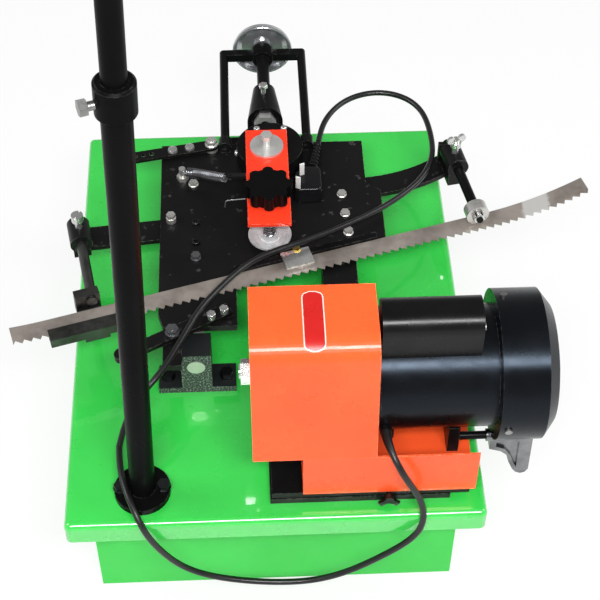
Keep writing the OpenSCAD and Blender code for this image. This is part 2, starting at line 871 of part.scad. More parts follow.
module blade() {
    points = [for (st = blade_stations) for (p = blade_section(st)) p];
    last = 4 * (len(blade_stations) - 1);
    sides = [
        for (i = [0 : len(blade_stations) - 2]) for (k = [0 : 3]) for (half = [0, 1])
            let (a = 4 * i + k, b = 4 * i + (k + 1) % 4)
                half == 0 ? [a, b, b + 4] : [a, b + 4, a + 4]
    ];
    ends = [[0, 2, 1], [0, 3, 2], [last, last + 1, last + 2], [last, last + 2, last + 3]];
    color("rosybrown") on_blade() polyhedron(points, concat(sides, ends));
}

/* Feed head */

pivot_boss_d = 40;
pivot_washer_t = 3;
pivot_stand = 12;

module feed_housing() {
    color("black") difference() {
        union() {
            translate([head_x + 4, pivot_y + 14, bed_top]) cylinder(d = housing_d, h = housing_h);
            translate([head_x, pivot_y, bed_top]) cylinder(d = pivot_boss_d, h = lever_lift - gap);
        }
        translate([head_x, pivot_y, bed_top + 6]) cylinder(d = pivot_d + 2 * seat_fit, h = lever_lift);
    }
}

module pivot_bolt() {
    seat = lever_top + gap;
    color("silver") translate([head_x, pivot_y, 0]) {
        translate([0, 0, bed_top + 7]) cylinder(d = pivot_d, h = seat - bed_top - 6);
        translate([0, 0, seat]) cylinder(d = pivot_boss_d, h = pivot_washer_t);
        translate([0, 0, seat + pivot_washer_t]) cylinder(d = pivot_d, h = pivot_stand + 1);
        translate([0, 0, seat + pivot_washer_t + pivot_stand]) hex(hex_af(pivot_d), head_h(pivot_d));
    }
}

spring_lug = [head_x - lever_w / 2 - 19, 110];
knob_stud_d = 8;

module feed_lever() {
    lug_w = 6;
    lug_end = 3;
    color("orangered") translate([0, 0, lever_z]) difference() {
        union() {
            translate([head_x - lever_w / 2, lever_front, 0])
                cube([lever_w, lever_back - lever_front, lever_t]);
            translate([spring_lug[0] - lug_end, spring_lug[1] - lug_w / 2, 0])
                cube([head_x - lever_w / 2 - spring_lug[0] + lug_end + 1, lug_w, lever_t]);
        }
        translate([head_x, pivot_y, -1]) cylinder(d = pivot_d + 2 * run_fit, h = lever_t + 2);
        translate([head_x, knob_y, -1]) cylinder(d = knob_stud_d + 2 * run_fit, h = lever_t + 2);
        translate([spring_lug[0], spring_lug[1], -1]) cylinder(d = 2.5, h = lever_t + 2);
    }
}

module star_knob() {
    lobes = 8;
    lobe_r = 6.5;
    knob_z = lever_top + gap;
    color("black") translate([head_x, knob_y, 0]) {
        translate([0, 0, lever_z - 8]) cylinder(d = knob_stud_d, h = lever_t + 10);
        translate([0, 0, knob_z]) cylinder(d = knob_d * 0.5, h = 3);
        translate([0, 0, knob_z + 2]) linear_extrude(18) {
            circle(d = knob_d * 0.84);
            for (i = [0 : lobes - 1]) rotate(360 * i / lobes)
                translate([knob_d / 2 - lobe_r, 0]) circle(r = lobe_r);
        }
    }
}

stud_d = 8;
cup_seat = bed_top + 6;

module presser_stud() {
    color("dimgray") translate([head_x, presser_y, 0]) {
        translate([0, 0, cup_seat - 3]) cylinder(d = 13, h = 3 - gap);
        translate([0, 0, cup_seat - 2]) cylinder(d = stud_d, h = lever_z - cup_seat + 2);
    }
}

cup_t = 2.5;

module presser_cup() {
    r = cup_d / 2;
    bore = stud_d / 2 + run_fit;
    color("silver") translate([head_x, presser_y, cup_seat]) rotate_extrude() polygon([
        [bore, 0], [r - 7, 0], [r, 3], [r, 3 + cup_t], [r - 7, cup_t], [r - 13, cup_t], [r - 14, cup_t + 1.5],
        [bore, cup_t + 1.5]
    ]);
}

module index_link() {
    hole_d = 5;
    color("black") translate([link_pivot[0], link_pivot[1], link_z]) rotate(link_angle) difference() {
        union() {
            translate([0, -link_w / 2, 0]) cube([link_len, link_w, link_t]);
            cylinder(d = link_w, h = link_t);
        }
        translate([0, 0, -1]) cylinder(d = bolt_d + 2 * run_fit, h = link_t + 2);
        for (x = [74, 84, 94]) translate([x, 0, -1]) cylinder(d = hole_d, h = link_t + 2);
    }
}

/* Springs: one unbroken tube each, wound by a formula */

ring_sides = 6;
rings_per_curl = 8;

// Point i of a helix about +Z
function helix(i, r, pitch) = let (a = 360 * i / rings_per_curl) [
    r * cos(a), r * sin(a), pitch * i / rings_per_curl
];

function cross3(a, b) = [a[1] * b[2] - a[2] * b[1], a[2] * b[0] - a[0] * b[2], a[0] * b[1] - a[1] * b[0]];
function unit(v) = v / norm(v);

// Direction of travel at point i of a path
function path_dir(path, i) = unit(path[min(i + 1, len(path) - 1)] - path[max(i - 1, 0)]);

// Side vector carried along the path, so that the tube doesn't twist
function side_at(dir, last) = unit(last - dir * (last * dir));
function sides_along(path, i, last) = i == len(path) ? []
    : let (s = side_at(path_dir(path, i), last)) concat([s], sides_along(path, i + 1, s));

// Closed tube of a given radius and number of sides along a path
module tube(path, r, n, first_side) {
    across = sides_along(path, 0, first_side);
    points = [
        for (i = [0 : len(path) - 1]) let (d = path_dir(path, i), u = across[i], v = cross3(d, u))
            for (k = [0 : n - 1]) path[i] + r * (cos(360 * k / n) * u + sin(360 * k / n) * v)
    ];
    last = n * (len(path) - 1);
    walls = [
        for (i = [0 : len(path) - 2]) for (k = [0 : n - 1]) for (half = [0, 1])
            let (a = n * i + k, b = n * i + (k + 1) % n)
                half == 0 ? [a, b + n, b] : [a, a + n, b + n]
    ];
    caps = [for (k = [1 : n - 2]) for (end = [0, 1]) end == 0 ? [0, k, k + 1] : [last, last + k + 1, last + k]];
    polyhedron(points, concat(walls, caps));
}

// Least gap between curls of a helix, measured between its own points
function curl_gap(path, wire) = min([
    for (i = [0 : len(path) - 1 - rings_per_curl]) norm(path[i + rings_per_curl] - path[i]) - wire
]);

presser_wire = 2.2;
presser_curls = 5;
presser_r = 6.6;
presser_base = cup_seat + cup_t + 1.5 + presser_wire / 2 + gap;
presser_pitch = (lever_z - gap - presser_wire / 2 - presser_base) / presser_curls;
presser_path = [for (i = [0 : presser_curls * rings_per_curl]) helix(i, presser_r, presser_pitch)];

module presser_spring() {
    echo(presser_spring_gap = curl_gap(presser_path, presser_wire));
    color("dimgray") translate([head_x, presser_y, presser_base])
        tube(presser_path, presser_wire / 2, ring_sides, [1, 0, 0]);
}

// Return spring from its post on the bed to the lever's lug
return_wire = 1.6;
return_r = 5.3;
return_curls = 23;
return_from = [spring_post[0], spring_post[1], spring_post_z - 4];
return_to = [spring_lug[0], spring_lug[1], lever_z - 3];
return_span = norm(return_to - return_from);
return_hook = 7;
return_pitch = (return_span - 2 * return_hook) / return_curls;
return_coil = [
    for (i = [0 : return_curls * rings_per_curl]) helix(i, return_r, return_pitch) + [0, 0, return_hook]
];
return_path = concat(
    [[0, 0, bolt_d / 2 + return_wire / 2 + gap], [return_r * 0.5, 0, return_hook - 1.2]], return_coil,
    [[return_r * 0.5, 0, return_span - return_hook + 1.2], [0, 0, return_span - 1]]
);

module return_spring() {
    along = return_to - return_from;
    echo(return_spring_gap = curl_gap(return_coil, return_wire));
    color("silver") translate(return_from) rotate([0, acos(along[2] / return_span), atan2(along[1], along[0])])
        tube(return_path, return_wire / 2, ring_sides, [0, 1, 0]);
}

/* Grinding head */

module slide_rail() {
    color("darkslategray") {
        translate([rail_left, tray_front + 1, 0]) cube([rail_len, rail_w, rail_t]);
        translate([rail_left, dove_y, rail_t - 1]) dovetail(rail_len, dove_h + 1, 0);
    }
}

// Dovetail along X, wider at its top, grown by a clearance
module dovetail(length, height, grow) {
    rotate([90, 0, 90]) linear_extrude(length) polygon([
        [-dove_root / 2 - grow, 0], [dove_root / 2 + grow, 0],
        [dove_top / 2 + grow, height + grow], [-dove_top / 2 - grow, height + grow]
    ]);
}

carriage_left = -4;
carriage_right = 206;
lock_hole = 27;
lock_z = (rail_t + gap + carriage_top) / 2;

module slide_carriage() {
    front = tray_front + 2;
    color("black") difference() {
        translate([carriage_left, front, rail_t + gap])
            cube([carriage_right - carriage_left, rail_w - 2, carriage_top - rail_t - gap]);
        translate([carriage_left - 1, dove_y, rail_t - 1])
            dovetail(carriage_right - carriage_left + 2, dove_h + 1, gap);
        along_y(front - 1, front + lock_hole, screw_d + 2 * run_fit, lock_x, lock_z);
    }
}

module rail_lock_screw() {
    front = tray_front + 2;
    head_y = tray_front - 6;
    color("black") {
        along_y(head_y, front + lock_hole - gap, screw_d, lock_x, lock_z);
        along_y(head_y - 3, head_y + 4, 10, lock_x, lock_z);
        for (side = [-1, 1]) translate([lock_x, head_y - 3, lock_z]) rotate([0, side * 35, 0])
            translate([side * 7 - 5, 0, -3]) cube([10, 3, 6]);
    }
}

clamp_axis = [clamp_rod_y, clamp_rod_z];

module motor_tray() {
    wall_h = 36;
    floor_z = carriage_top;
    inner_front = tray_front + tray_sheet;
    color("orangered") {
        translate([tray_left, inner_front, floor_z])
            cube([tray_right - tray_left, tray_back - inner_front, tray_sheet]);
        translate([tray_left, tray_back - tray_sheet, floor_z])
            cube([tray_right - tray_left, tray_sheet, wall_h]);
    }
}

// Hood section in the YZ plane: the leaning front, the bend and the top
hood_foot = [tray_front, tray_wall_z];
hood_lean = 8.8;
hood_bend_z = hood_top - hood_bend;
hood_bend_y = tray_front + (hood_bend_z + hood_bend * sin(hood_lean) - tray_wall_z) * tan(hood_lean)
    + hood_bend * cos(hood_lean);
function hood_arc(r, angles) = [for (a = angles) [hood_bend_y + r * cos(a), hood_bend_z + r * sin(a)]];
bend_steps = 12;
bend_angles = [for (i = [0 : bend_steps]) 180 - hood_lean - i * (90 - hood_lean) / bend_steps];
bend_angles_back = [for (i = [bend_steps : -1 : 0]) bend_angles[i]];

module hood_shell() {
    inner = hood_bend - tray_sheet;
    polygon(concat(
        [hood_foot], hood_arc(hood_bend, bend_angles),
        [[hood_back, hood_top], [hood_back, hood_top - tray_sheet]],
        hood_arc(inner, bend_angles_back), [hood_foot + [tray_sheet / cos(hood_lean), 0]]
    ));
}

// Cheek that the motor bolts to
module hood_cheek() {
    cheek_front = tray_front + tray_sheet;
    difference() {
        polygon(concat(
            [[cheek_front, carriage_top + tray_sheet], [cheek_front, tray_wall_z]],
            hood_arc(hood_bend - 1, bend_angles),
            [[hood_back, hood_top - 1], [motor_y + 35, motor_z], [motor_y + 35, carriage_top + tray_sheet]]
        ));
        translate(motor_axis) circle(d = 66);
    }
}

module extrude_x(x0, x1) {
    translate([x0, 0, 0]) rotate([90, 0, 90]) linear_extrude(x1 - x0) children();
}

module wheel_hood() {
    color("orangered") {
        extrude_x(hood_left, hood_right) hood_shell();
        extrude_x(hood_right - tray_sheet, hood_right) hood_cheek();
        translate([tray_left, tray_front, carriage_top])
            cube([tray_right - tray_left, tray_sheet, tray_wall_z - carriage_top + 0.5]);
    }
}

gland_z = 88;
gland_x = shell_left + 7;
gland_face = motor_y - shell_d / 2 - 1;

module motor_shell() {
    color("black") difference() {
        union() {
            along_x(shell_left, shell_right, shell_d);
            along_y(gland_face, gland_face + 12, 12, gland_x, gland_z);
        }
        along_x(shell_left - 1, shell_right + 1, shell_d - 2 * shell_wall);
    }
}

// End shield drawn with its outer face at x = 0, its spigot towards +X
module end_shield() {
    difference() {
        union() {
            along_x(0, shield_t, shell_d);
            along_x(0, shield_t + spigot_t, shell_d - 2 * shell_wall - 2 * seat_fit);
        }
        along_x(shield_t + spigot_t - bearing_t, shield_t + spigot_t + 1, bearing_od + 2 * seat_fit);
        along_x(-1, shield_t + spigot_t, motor_shaft_d + 5);
    }
}

module end_shields() {
    color("black") {
        translate([shell_left - shield_t, 0, 0]) end_shield();
        translate([shell_right + shield_t, 0, 0]) mirror([1, 0, 0]) end_shield();
    }
}

left_bearing_x = shell_left + spigot_t - bearing_t;
right_bearing_x = shell_right - spigot_t;

module motor_bearings() {
    color("silver") for (x = [left_bearing_x, right_bearing_x]) difference() {
        along_x(x, x + bearing_t, bearing_od);
        along_x(x - 1, x + bearing_t + 1, motor_shaft_d + 2 * run_fit);
    }
}

stator_left = shell_left + 30;
stator_len = 62;
rotor_d = 65;
rotor_gap = 0.5;

module stator() {
    color("peru") difference() {
        along_x(stator_left, stator_left + stator_len, shell_d - 2 * shell_wall - 2 * seat_fit);
        along_x(stator_left - 1, stator_left + stator_len + 1, rotor_d + 2 * rotor_gap);
    }
}

flange_w = 5;
grind_right = grind_left + grind_t;
arbor_shoulder = grind_right + flange_w;
arbor_nut_t = 11;
fan_x = shell_right + 9;
fan_t = 16;

module rotor_shaft() {
    color("silver") {
        along_x(hood_right - 2, fan_x + fan_t, motor_shaft_d);
        along_x(arbor_shoulder, hood_right - 1, arbor_d + 10);
        along_x(grind_left - flange_w - arbor_nut_t - 2, arbor_shoulder + 1, arbor_d);
        along_x(stator_left + 1, stator_left + stator_len - 1, rotor_d);
    }
}

module grinding_wheel() {
    edge = 1.5;
    color("rosybrown") translate([grind_left, motor_y, motor_z]) rotate([0, 90, 0]) rotate_extrude() polygon([
        [arbor_d / 2 + seat_fit, 0], [grind_d / 2 - edge, 0], [grind_d / 2, edge],
        [grind_d / 2, grind_t - edge], [grind_d / 2 - edge, grind_t], [arbor_d / 2 + seat_fit, grind_t]
    ]);
}

module wheel_flanges() {
    color("gray") for (x = [grind_left - flange_w, grind_right]) difference() {
        along_x(x, x + flange_w, 50);
        along_x(x - 1, x + flange_w + 1, arbor_d + 2 * seat_fit);
    }
}

module arbor_nut() {
    x = grind_left - flange_w - arbor_nut_t;
    color("silver") difference() {
        translate([x, motor_y, motor_z]) rotate([0, 90, 0]) hex(1.5 * arbor_d, arbor_nut_t);
        along_x(x - 1, x + arbor_nut_t + 1, arbor_d + 2 * seat_fit);
    }
}

module cooling_fan() {
    blades = 8;
    hub_d = 44;
    blade_thick = 3;
    tip_r = fan_cover_d / 2 - 12;
    color("dimgray") difference() {
        union() {
            along_x(fan_x, fan_x + fan_t, hub_d);
            for (i = [0 : blades - 1]) translate([fan_x, motor_y, motor_z]) rotate([360 * i / blades, 0, 0])
                translate([1, -blade_thick / 2, 0]) cube([fan_t - 2, blade_thick, tip_r]);
        }
        along_x(fan_x - 1, fan_x + fan_t + 1, motor_shaft_d + 2 * seat_fit);
    }
}

cover_wall = 2.5;
cover_left = shell_right + 1;
cover_slope = 16;
cover_dome = 4;

module fan_cover() {
    r = fan_cover_d / 2;
    w = cover_wall;
    far = fan_cover_len;
    slots = 8;
    color("black") difference() {
        translate([cover_left, motor_y, motor_z]) rotate([0, 90, 0]) rotate_extrude() polygon([
            [shell_d / 2 + seat_fit, 0], [r, 0], [r, far - cover_slope], [r - cover_slope, far - cover_dome],
            [r - 2.2 * cover_slope, far], [0, far], [0, far - w], [r - 2.2 * cover_slope - 1, far - w],
            [r - cover_slope - 1, far - cover_dome - w], [r - w, far - cover_slope - 1], [r - w, w],
            [shell_d / 2 + seat_fit, w]
        ]);
        for (i = [0 : slots - 1]) for (ring = [14, 25, 36]) translate([0, motor_y, motor_z])
            rotate([360 * (i + ring / 40) / slots, 0, 0])
                along_x(cover_left + far - w - 1, cover_left + far + 1, 9, [0, ring]);
    }
}

box_half_w = 24;
box_y = motor_y - 9;
box_top = motor_z + shell_d / 2 + 42;
box_r = 20;
box_left = shell_left + 1;
box_right = shell_right - 18;

module capacitor_box() {
    box_base = motor_z + shell_d / 3;
    color("black") difference() {
        extrude_x(box_left, box_right) translate([box_y, 0]) {
            for (side = [-1, 1]) translate([side * (box_half_w - box_r), box_top - box_r]) circle(r = box_r);
            translate([-box_half_w, box_base]) square([2 * box_half_w, box_top - box_r - box_base]);
            translate([box_r - box_half_w, box_base]) square([2 * (box_half_w - box_r), box_top - box_base]);
        }
        along_x(box_left - 1, box_right + 1, shell_d + 2 * seat_fit);
    }
}

right_foot_x = shell_right - 44;

// Left foot under the shell; the right one reaches forward and holds the clamp rod's end
module motor_foot() {
    foot_back = motor_y + 30;
    foot_w_x = 12;
    floor_z = carriage_top + tray_sheet;
    foot_h = motor_z - shell_d / 2 - floor_z + 12;
    color("black") difference() {
        union() {
            translate([shell_left + 9, motor_y - 24, floor_z])
                cube([foot_w_x, foot_back - motor_y + 24, foot_h]);
            translate([right_foot_x, clamp_rod_y - 12, floor_z])
                cube([foot_w_x, foot_back - clamp_rod_y + 12, foot_h]);
        }
        along_x(shell_left, shell_right, shell_d + 2 * seat_fit);
        along_x(right_foot_x - 1, right_foot_x + foot_w_x + 1, clamp_rod_d + 2 * run_fit, clamp_axis);
    }
}

module grinder_screws() {
    head_d = 8;
    head_t = 2.5;
    color("silver") {
        for (a = [98, 218, 338]) translate([cover_left + 9, motor_y, motor_z]) rotate([a, 0, 0])
            translate([0, 0, fan_cover_d / 2]) cylinder(d = head_d, h = head_t);
        for (side = [-1, 1]) translate([box_right, box_y + side * 12, box_top - box_r]) rotate([0, 90, 0])
            cylinder(d = head_d, h = head_t);
    }
}

handle_x = deck_w / 2 + 4;
handle_hub_len = 26;
handle_bore = handle_hub_len - 2;

module clamp_rod() {
    color("black") along_x(right_foot_x, handle_x + handle_bore, clamp_rod_d, clamp_axis);
}

// Cast handle: a hub and a rimmed plate that hangs from it, with a thick bar on its far side
module clamp_handle() {
    rim_t = 10;
    web_t = 4;
    outline = [
        [5, 3], [51, 3], [52, -60], [49, -66], [44, -68], [38, -65], [34, -59], [28.5, -45],
        [25, -32], [18, -25], [9, -21.5], [5, -20]
    ];
    pocket = [[12, -8], [37, -8], [38, -56], [34, -46], [30, -34], [22, -21], [12, -16]];
    color("silver") difference() {
        union() {
            along_x(handle_x, handle_x + handle_hub_len, handle_hub_d, clamp_axis);
            translate([handle_x, clamp_rod_y, clamp_rod_z]) rotate([90, 0, 0]) {
                linear_extrude(web_t, center = true) polygon(outline);
                linear_extrude(rim_t, center = true) difference() {
                    polygon(outline);
                    polygon(pocket);
                }
            }
        }
        along_x(handle_x - 1, handle_x + handle_bore, clamp_rod_d + 2 * seat_fit, clamp_axis);
    }
}

/* Mains lead and plug */

// Plug on the bed, and where its sleeve ends
plug_z = bed_top + 13;
plug_left = 34;
plug_right = 70;
plug_front = 95;
plug_back = 141;
sleeve_x = 58;
sleeve_end = [68, 186];

// Route of the lead's middle line, from the motor's gland to the plug's sleeve
lead_route = [
    [gland_x, gland_face - 0.1, gland_z], [gland_x, gland_face - 9, gland_z], [117, -267, gland_z],
    [119.5, -276, 86.2], [123.5, -284.6, 81.2], [128.5, -291.1, 73.5], [134, -294.6, 63], [140.5, -295.3, 50],
    [147, -295.8, 36], [152.5, -297, 22], [155.5, -300, 9], [155.5, -304, -4], [152.5, -307, -15],
    [146, -308.7, -26], [137.5, -309.6, -37], [126, -310, -49], [112, -310, -62], [96, -310, -76],
    [76, -310, -92], [47, -310, -106],
    [14, -309, -112], [-30, -308, -108], [-68, -307, -98], [-96, -307, -82], [-116, -307, -57],
    [-130, -308, -26], [-137, -308, -7], [-142.5, -304, 8], [-150, -291, 18], [-160, -266, 23],
    [-166, -240, 22.5], [-167, -212, 21], [-161, -197, 38], [-150, -187, 60], [-138, -180, 74], [-126, -170, 82],
    [-115, -156, 85], [-104, -134, 87], [-89, -106, 91], [-77, -82, 95], [-60, -60, 95], [-37, -29, 93],
    [-14, -7, 91], [9, 3, 93], [38, 14, 93], [74, 32, 91], [110, 54, 88], [141, 75, 86], [173, 102, 86],
    [195, 128, 87], [205, 156, 88], [207, 180, 88], [205, 210, 89], [200, 236, 89], [186, 257, 90],
    [163, 270, 90], [138, 272, 90], [114, 264, 90], [96, 250, 90], [82, 232, 89], [74.2, 214, 88.4],
    [70.4, 198, plug_z], [sleeve_end[0], sleeve_end[1] + 0.1, plug_z]
];

module mains_lead() {
    color("black") tube(lead_route, lead_d / 2, 8, [0, 0, 1]);
}

// Plug that lies on its back, so that its two blades point up
module mains_plug() {
    plug_h = 20;
    corner = 12;
    pin = [6, 2, 18];
    sleeve_len = sleeve_end[1] - plug_back;
    lean = atan((sleeve_end[0] - sleeve_x) / sleeve_len);
    ribs = 7;
    color("dimgray") {
        translate([0, 0, bed_top]) linear_extrude(plug_h) polygon([
            [plug_left, plug_front + 4], [plug_left + 4, plug_front], [plug_right - 4, plug_front],
            [plug_right, plug_front + 4], [plug_right, plug_back - 5], [plug_right - 5, plug_back],
            [plug_left + corner, plug_back], [plug_left, plug_back - corner]
        ]);
        translate([sleeve_x, plug_back - 1, plug_z]) rotate([-90, 0, -lean]) {
            cylinder(d = lead_d + 2, h = sleeve_len / cos(lean) + 1);
            for (i = [0 : ribs - 1]) translate([0, 0, i * 5.5]) cylinder(d = 15 - 0.7 * i, h = 3);
        }
        for (p = [[45, 123, 20], [39.5, 101, -20]]) translate([p[0], p[1], bed_top + plug_h - 1]) rotate(p[2])
            block(pin[0], pin[1], pin[2] + 1);
    }
}

module on_deck() {
    translate([0, 0, cabinet_h]) children();
}

on_deck() cabinet();
on_deck() deck();
on_deck() post_tube();
on_deck() deck_bolts();
on_deck() post_collar();
on_deck() inner_tube();
on_deck() post_screw();
on_deck() front_pedestals();
on_deck() rear_pedestals();
on_deck() guide_shafts();
on_deck() screw_bracket();
on_deck() slide_rail();
on_deck() slide_carriage();
on_deck() motor_tray();
on_deck() wheel_hood();
on_deck() motor_shell();
on_deck() end_shields();
on_deck() fan_cover();
on_deck() capacitor_box();
on_deck() motor_foot();
on_deck() stator();
on_deck() motor_bearings();
on_deck() grinder_screws();
on_deck() rotor_shaft();
on_deck() grinding_wheel();
on_deck() wheel_flanges();
on_deck() arbor_nut();
on_deck() cooling_fan();
on_deck() clamp_rod();
on_deck() clamp_handle();
on_deck() rail_lock_screw();
on_deck() feed_screw();
on_deck() handwheel();
on_deck() screw_nut();
on_deck() bed_plate();
on_deck() slide_blocks();
on_deck() screw_yoke();
on_deck() feed_housing();
on_deck() blade_fence();
on_deck() hold_down();
on_deck() right_arm();
on_deck() left_arm();
on_deck() bed_screws();
on_deck() return_spring();
on_deck() pivot_bolt();
on_deck() feed_lever();
on_deck() presser_stud();
on_deck() presser_spring();
on_deck() presser_cup();
on_deck() star_knob();
on_deck() index_link();
on_deck() roller_rod();
on_deck() roller();
on_deck() guide_shoe();
on_deck() right_clamp_screw();
on_deck() left_clamp_screw();
on_deck() stop_lever();
on_deck() blade();
on_deck() mains_lead();
on_deck() mains_plug();
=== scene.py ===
"""Looks of the bandsaw blade sharpener: materials on the solids, soft and fine pieces, light and camera."""

import math

import bmesh
import bpy
from mathutils import Matrix, Vector


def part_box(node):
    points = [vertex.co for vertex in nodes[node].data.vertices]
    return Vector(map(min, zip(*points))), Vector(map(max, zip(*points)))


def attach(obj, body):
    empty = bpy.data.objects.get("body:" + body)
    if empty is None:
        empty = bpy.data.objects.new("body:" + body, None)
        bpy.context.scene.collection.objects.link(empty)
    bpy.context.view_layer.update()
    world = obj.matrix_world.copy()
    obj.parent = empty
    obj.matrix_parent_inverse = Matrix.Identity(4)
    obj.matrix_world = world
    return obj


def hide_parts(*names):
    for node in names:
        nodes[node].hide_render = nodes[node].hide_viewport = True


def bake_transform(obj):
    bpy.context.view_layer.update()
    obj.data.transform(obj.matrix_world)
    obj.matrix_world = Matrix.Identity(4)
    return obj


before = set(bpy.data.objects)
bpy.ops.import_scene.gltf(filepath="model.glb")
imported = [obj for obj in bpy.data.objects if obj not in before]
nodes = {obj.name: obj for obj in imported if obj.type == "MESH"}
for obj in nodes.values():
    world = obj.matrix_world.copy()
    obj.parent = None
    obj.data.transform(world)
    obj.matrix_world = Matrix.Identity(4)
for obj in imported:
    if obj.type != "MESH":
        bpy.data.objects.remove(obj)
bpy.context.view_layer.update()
scene = bpy.context.scene
scene.view_settings.view_transform = "Standard"

# Metres in a millimetre, the upright direction, and the height of the deck's top face above the floor
MM = 0.001
UP = Vector((0, 0, 1))
DECK = round(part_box("deck")[1].z, 4)


def deck(x, y, z):
    """A point given in millimetres from the middle of the deck's top face."""
    return Vector((x * MM, y * MM, z * MM + DECK))


def heights(node):
    """Lowest and highest place of a solid above the deck's top face, in millimetres."""
    return [round((corner.z - DECK) / MM, 2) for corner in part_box(node)]


# The blade fence lies on the bed's top face
BED_TOP, FENCE_TOP = heights("blade_fence")
LINK_TOP = heights("index_link")[1]


def srgb(red, green, blue):
    """A colour as it shows on screen, 0 to 255, as linear values."""

    def one(value):
        share = value / 255
        return share / 12.92 if share <= 0.04045 else ((share + 0.055) / 1.055) ** 2.4

    return (one(red), one(green), one(blue), 1.0)


def grey(value):
    """A grey given as a linear value."""
    return (value, value, value, 1.0)


# Camera at the photograph's place and angle: turns in degrees, sensor in millimetres

CAMERA_AT = deck(-17.5, -1182, 1375)
CAMERA_YAW = -2.67
CAMERA_PITCH = -49.1
CAMERA_ROLL = -0.27
SENSOR = 36.0
FOCAL_PIXELS = 1530.4
IMAGE_PIXELS = 600
FAR_CLIP = 50.0


def make_camera():
    """Adds the camera and makes it the scene's own."""
    turn = (
        Matrix.Rotation(math.radians(CAMERA_YAW), 3, "Z")
        @ Matrix.Rotation(math.radians(CAMERA_PITCH), 3, "X")
        @ Matrix.Rotation(math.radians(CAMERA_ROLL), 3, "Y")
    )
    right, forward, up = turn.col[0], turn.col[1], turn.col[2]
    data = bpy.data.cameras.new("camera")
    data.sensor_width = SENSOR
    data.lens = FOCAL_PIXELS * SENSOR / IMAGE_PIXELS
    data.clip_end = FAR_CLIP
    camera = bpy.data.objects.new("camera", data)
    basis = Matrix((right, up, -forward)).transposed()
    camera.matrix_world = Matrix.Translation(CAMERA_AT) @ basis.to_4x4()
    scene.collection.objects.link(camera)
    scene.camera = camera


make_camera()


# Mesh helpers

SHARP_ANGLE = math.radians(35)


def add_object(name, mesh):
    """Adds a mesh to the scene, smooth apart from its sharp edges."""
    piece = bpy.data.objects.new(name, mesh)
    scene.collection.objects.link(piece)
    mesh.shade_smooth()
    mesh.set_sharp_from_angle(angle=SHARP_ANGLE)
    return piece


def from_data(name, points, faces):
    """An object from points and faces, with all faces turned outwards."""
    mesh = bpy.data.meshes.new(name)
    mesh.from_pydata([tuple(p) for p in points], [], faces)
    work = bmesh.new()
    work.from_mesh(mesh)
    bmesh.ops.recalc_face_normals(work, faces=work.faces)
    work.to_mesh(mesh)
    work.free()
    return add_object(name, mesh)


def around(side, other, step, steps):
    """Direction at one step of a full turn, from one side towards the other."""
    angle = 2 * math.pi * step / steps
    return side * math.cos(angle) + other * math.sin(angle)


def smooth_path(points, per_step):
    """A rounder line through the points, with several steps between each two."""
    line = []
    last = len(points) - 1
    for i in range(last):
        before = points[max(i - 1, 0)]
        here = points[i]
        after = points[i + 1]
        beyond = points[min(i + 2, last)]
        for k in range(per_step):
            t = k / per_step
            bend = (
                here * 2
                + (after - before) * t
                + (before * 2 - here * 5 + after * 4 - beyond) * t * t
                + (here * 3 - before - after * 3 + beyond) * t * t * t
            )
            line.append(bend * 0.5)
    line.append(points[last])
    return line


def tube_mesh(name, line, radius, sides):
    """A closed round tube along a line, with no twist. Radius is a length or a function of the step."""
    nearly_parallel = 0.98
    count = len(line)
    points = []
    across = UP
    for i in range(count):
        along = (line[min(i + 1, count - 1)] - line[max(i - 1, 0)]).normalized()
        if abs(along.dot(across)) > nearly_parallel:
            across = Vector((1, 0, 0))
        across = (across - along * across.dot(along)).normalized()
        other = along.cross(across)
        wide = radius(i) if callable(radius) else radius
        for k in range(sides):
            points.append(line[i] + around(across, other, k, sides) * wide)
    faces = []
    for i in range(count - 1):
        for k in range(sides):
            a = i * sides + k
            b = i * sides + (k + 1) % sides
            faces.append((a, b, b + sides, a + sides))
    faces.append(tuple(range(sides - 1, -1, -1)))
    faces.append(tuple(range((count - 1) * sides, count * sides)))
    return from_data(name, points, faces)


def turned(name, profile, origin, axis=UP, steps=24):
    """A solid of revolution: profile holds (radius, place along the axis) in millimetres."""
    axis = axis.normalized()
    side = axis.orthogonal().normalized()
    other = axis.cross(side)
    points = []
    for step in range(steps):
        out = around(side, other, step, steps)
        for radius, place in profile:
            points.append(origin + out * radius * MM + axis * place * MM)
    size = len(profile)
    faces = []
    for step in range(steps):
        a = step * size
        b = ((step + 1) % steps) * size
        for k in range(size - 1):
            faces.append((a + k, b + k, b + k + 1, a + k + 1))
    faces.append(tuple(step * size for step in range(steps)))
    faces.append(tuple(step * size + size - 1 for step in range(steps)))
    return from_data(name, points, faces)


def hex_head(name, spot, width, height, axis=UP):
    """A hexagon head with its corners cut off at the top. Width is across its flats, in millimetres."""
    corner = width / math.sqrt(3)
    shoulder = height * 0.86
    crown = width * 0.47
    piece = turned(name, [(corner, 0), (corner, shoulder), (crown, height)], spot, axis, steps=6)
    bevel = piece.modifiers.new("edge", "BEVEL")
    bevel.width = 0.4 * MM
    bevel.segments = 2
    return piece


# Node helpers: each adds nodes to a tree and gives back the socket that holds the result


def noise(tree, where, scale, detail=4.0, rough=0.55):
    """Noise with a number of waves for each metre."""
    node = tree.nodes.new("ShaderNodeTexNoise")
    node.inputs["Scale"].default_value = scale
    node.inputs["Detail"].default_value = detail
    node.inputs["Roughness"].default_value = rough
    tree.links.new(where, node.inputs["Vector"])
    return node.outputs["Fac"]


def ramp(tree, value, stops):
    """Colours over a value, as stops of place and colour."""
    node = tree.nodes.new("ShaderNodeValToRGB")
    band = node.color_ramp
    while len(band.elements) < len(stops):
        band.elements.new(0.5)
    for element, (place, colour) in zip(band.elements, stops):
        element.position = place
        element.color = colour
    tree.links.new(value, node.inputs["Fac"])
    return node.outputs["Color"]


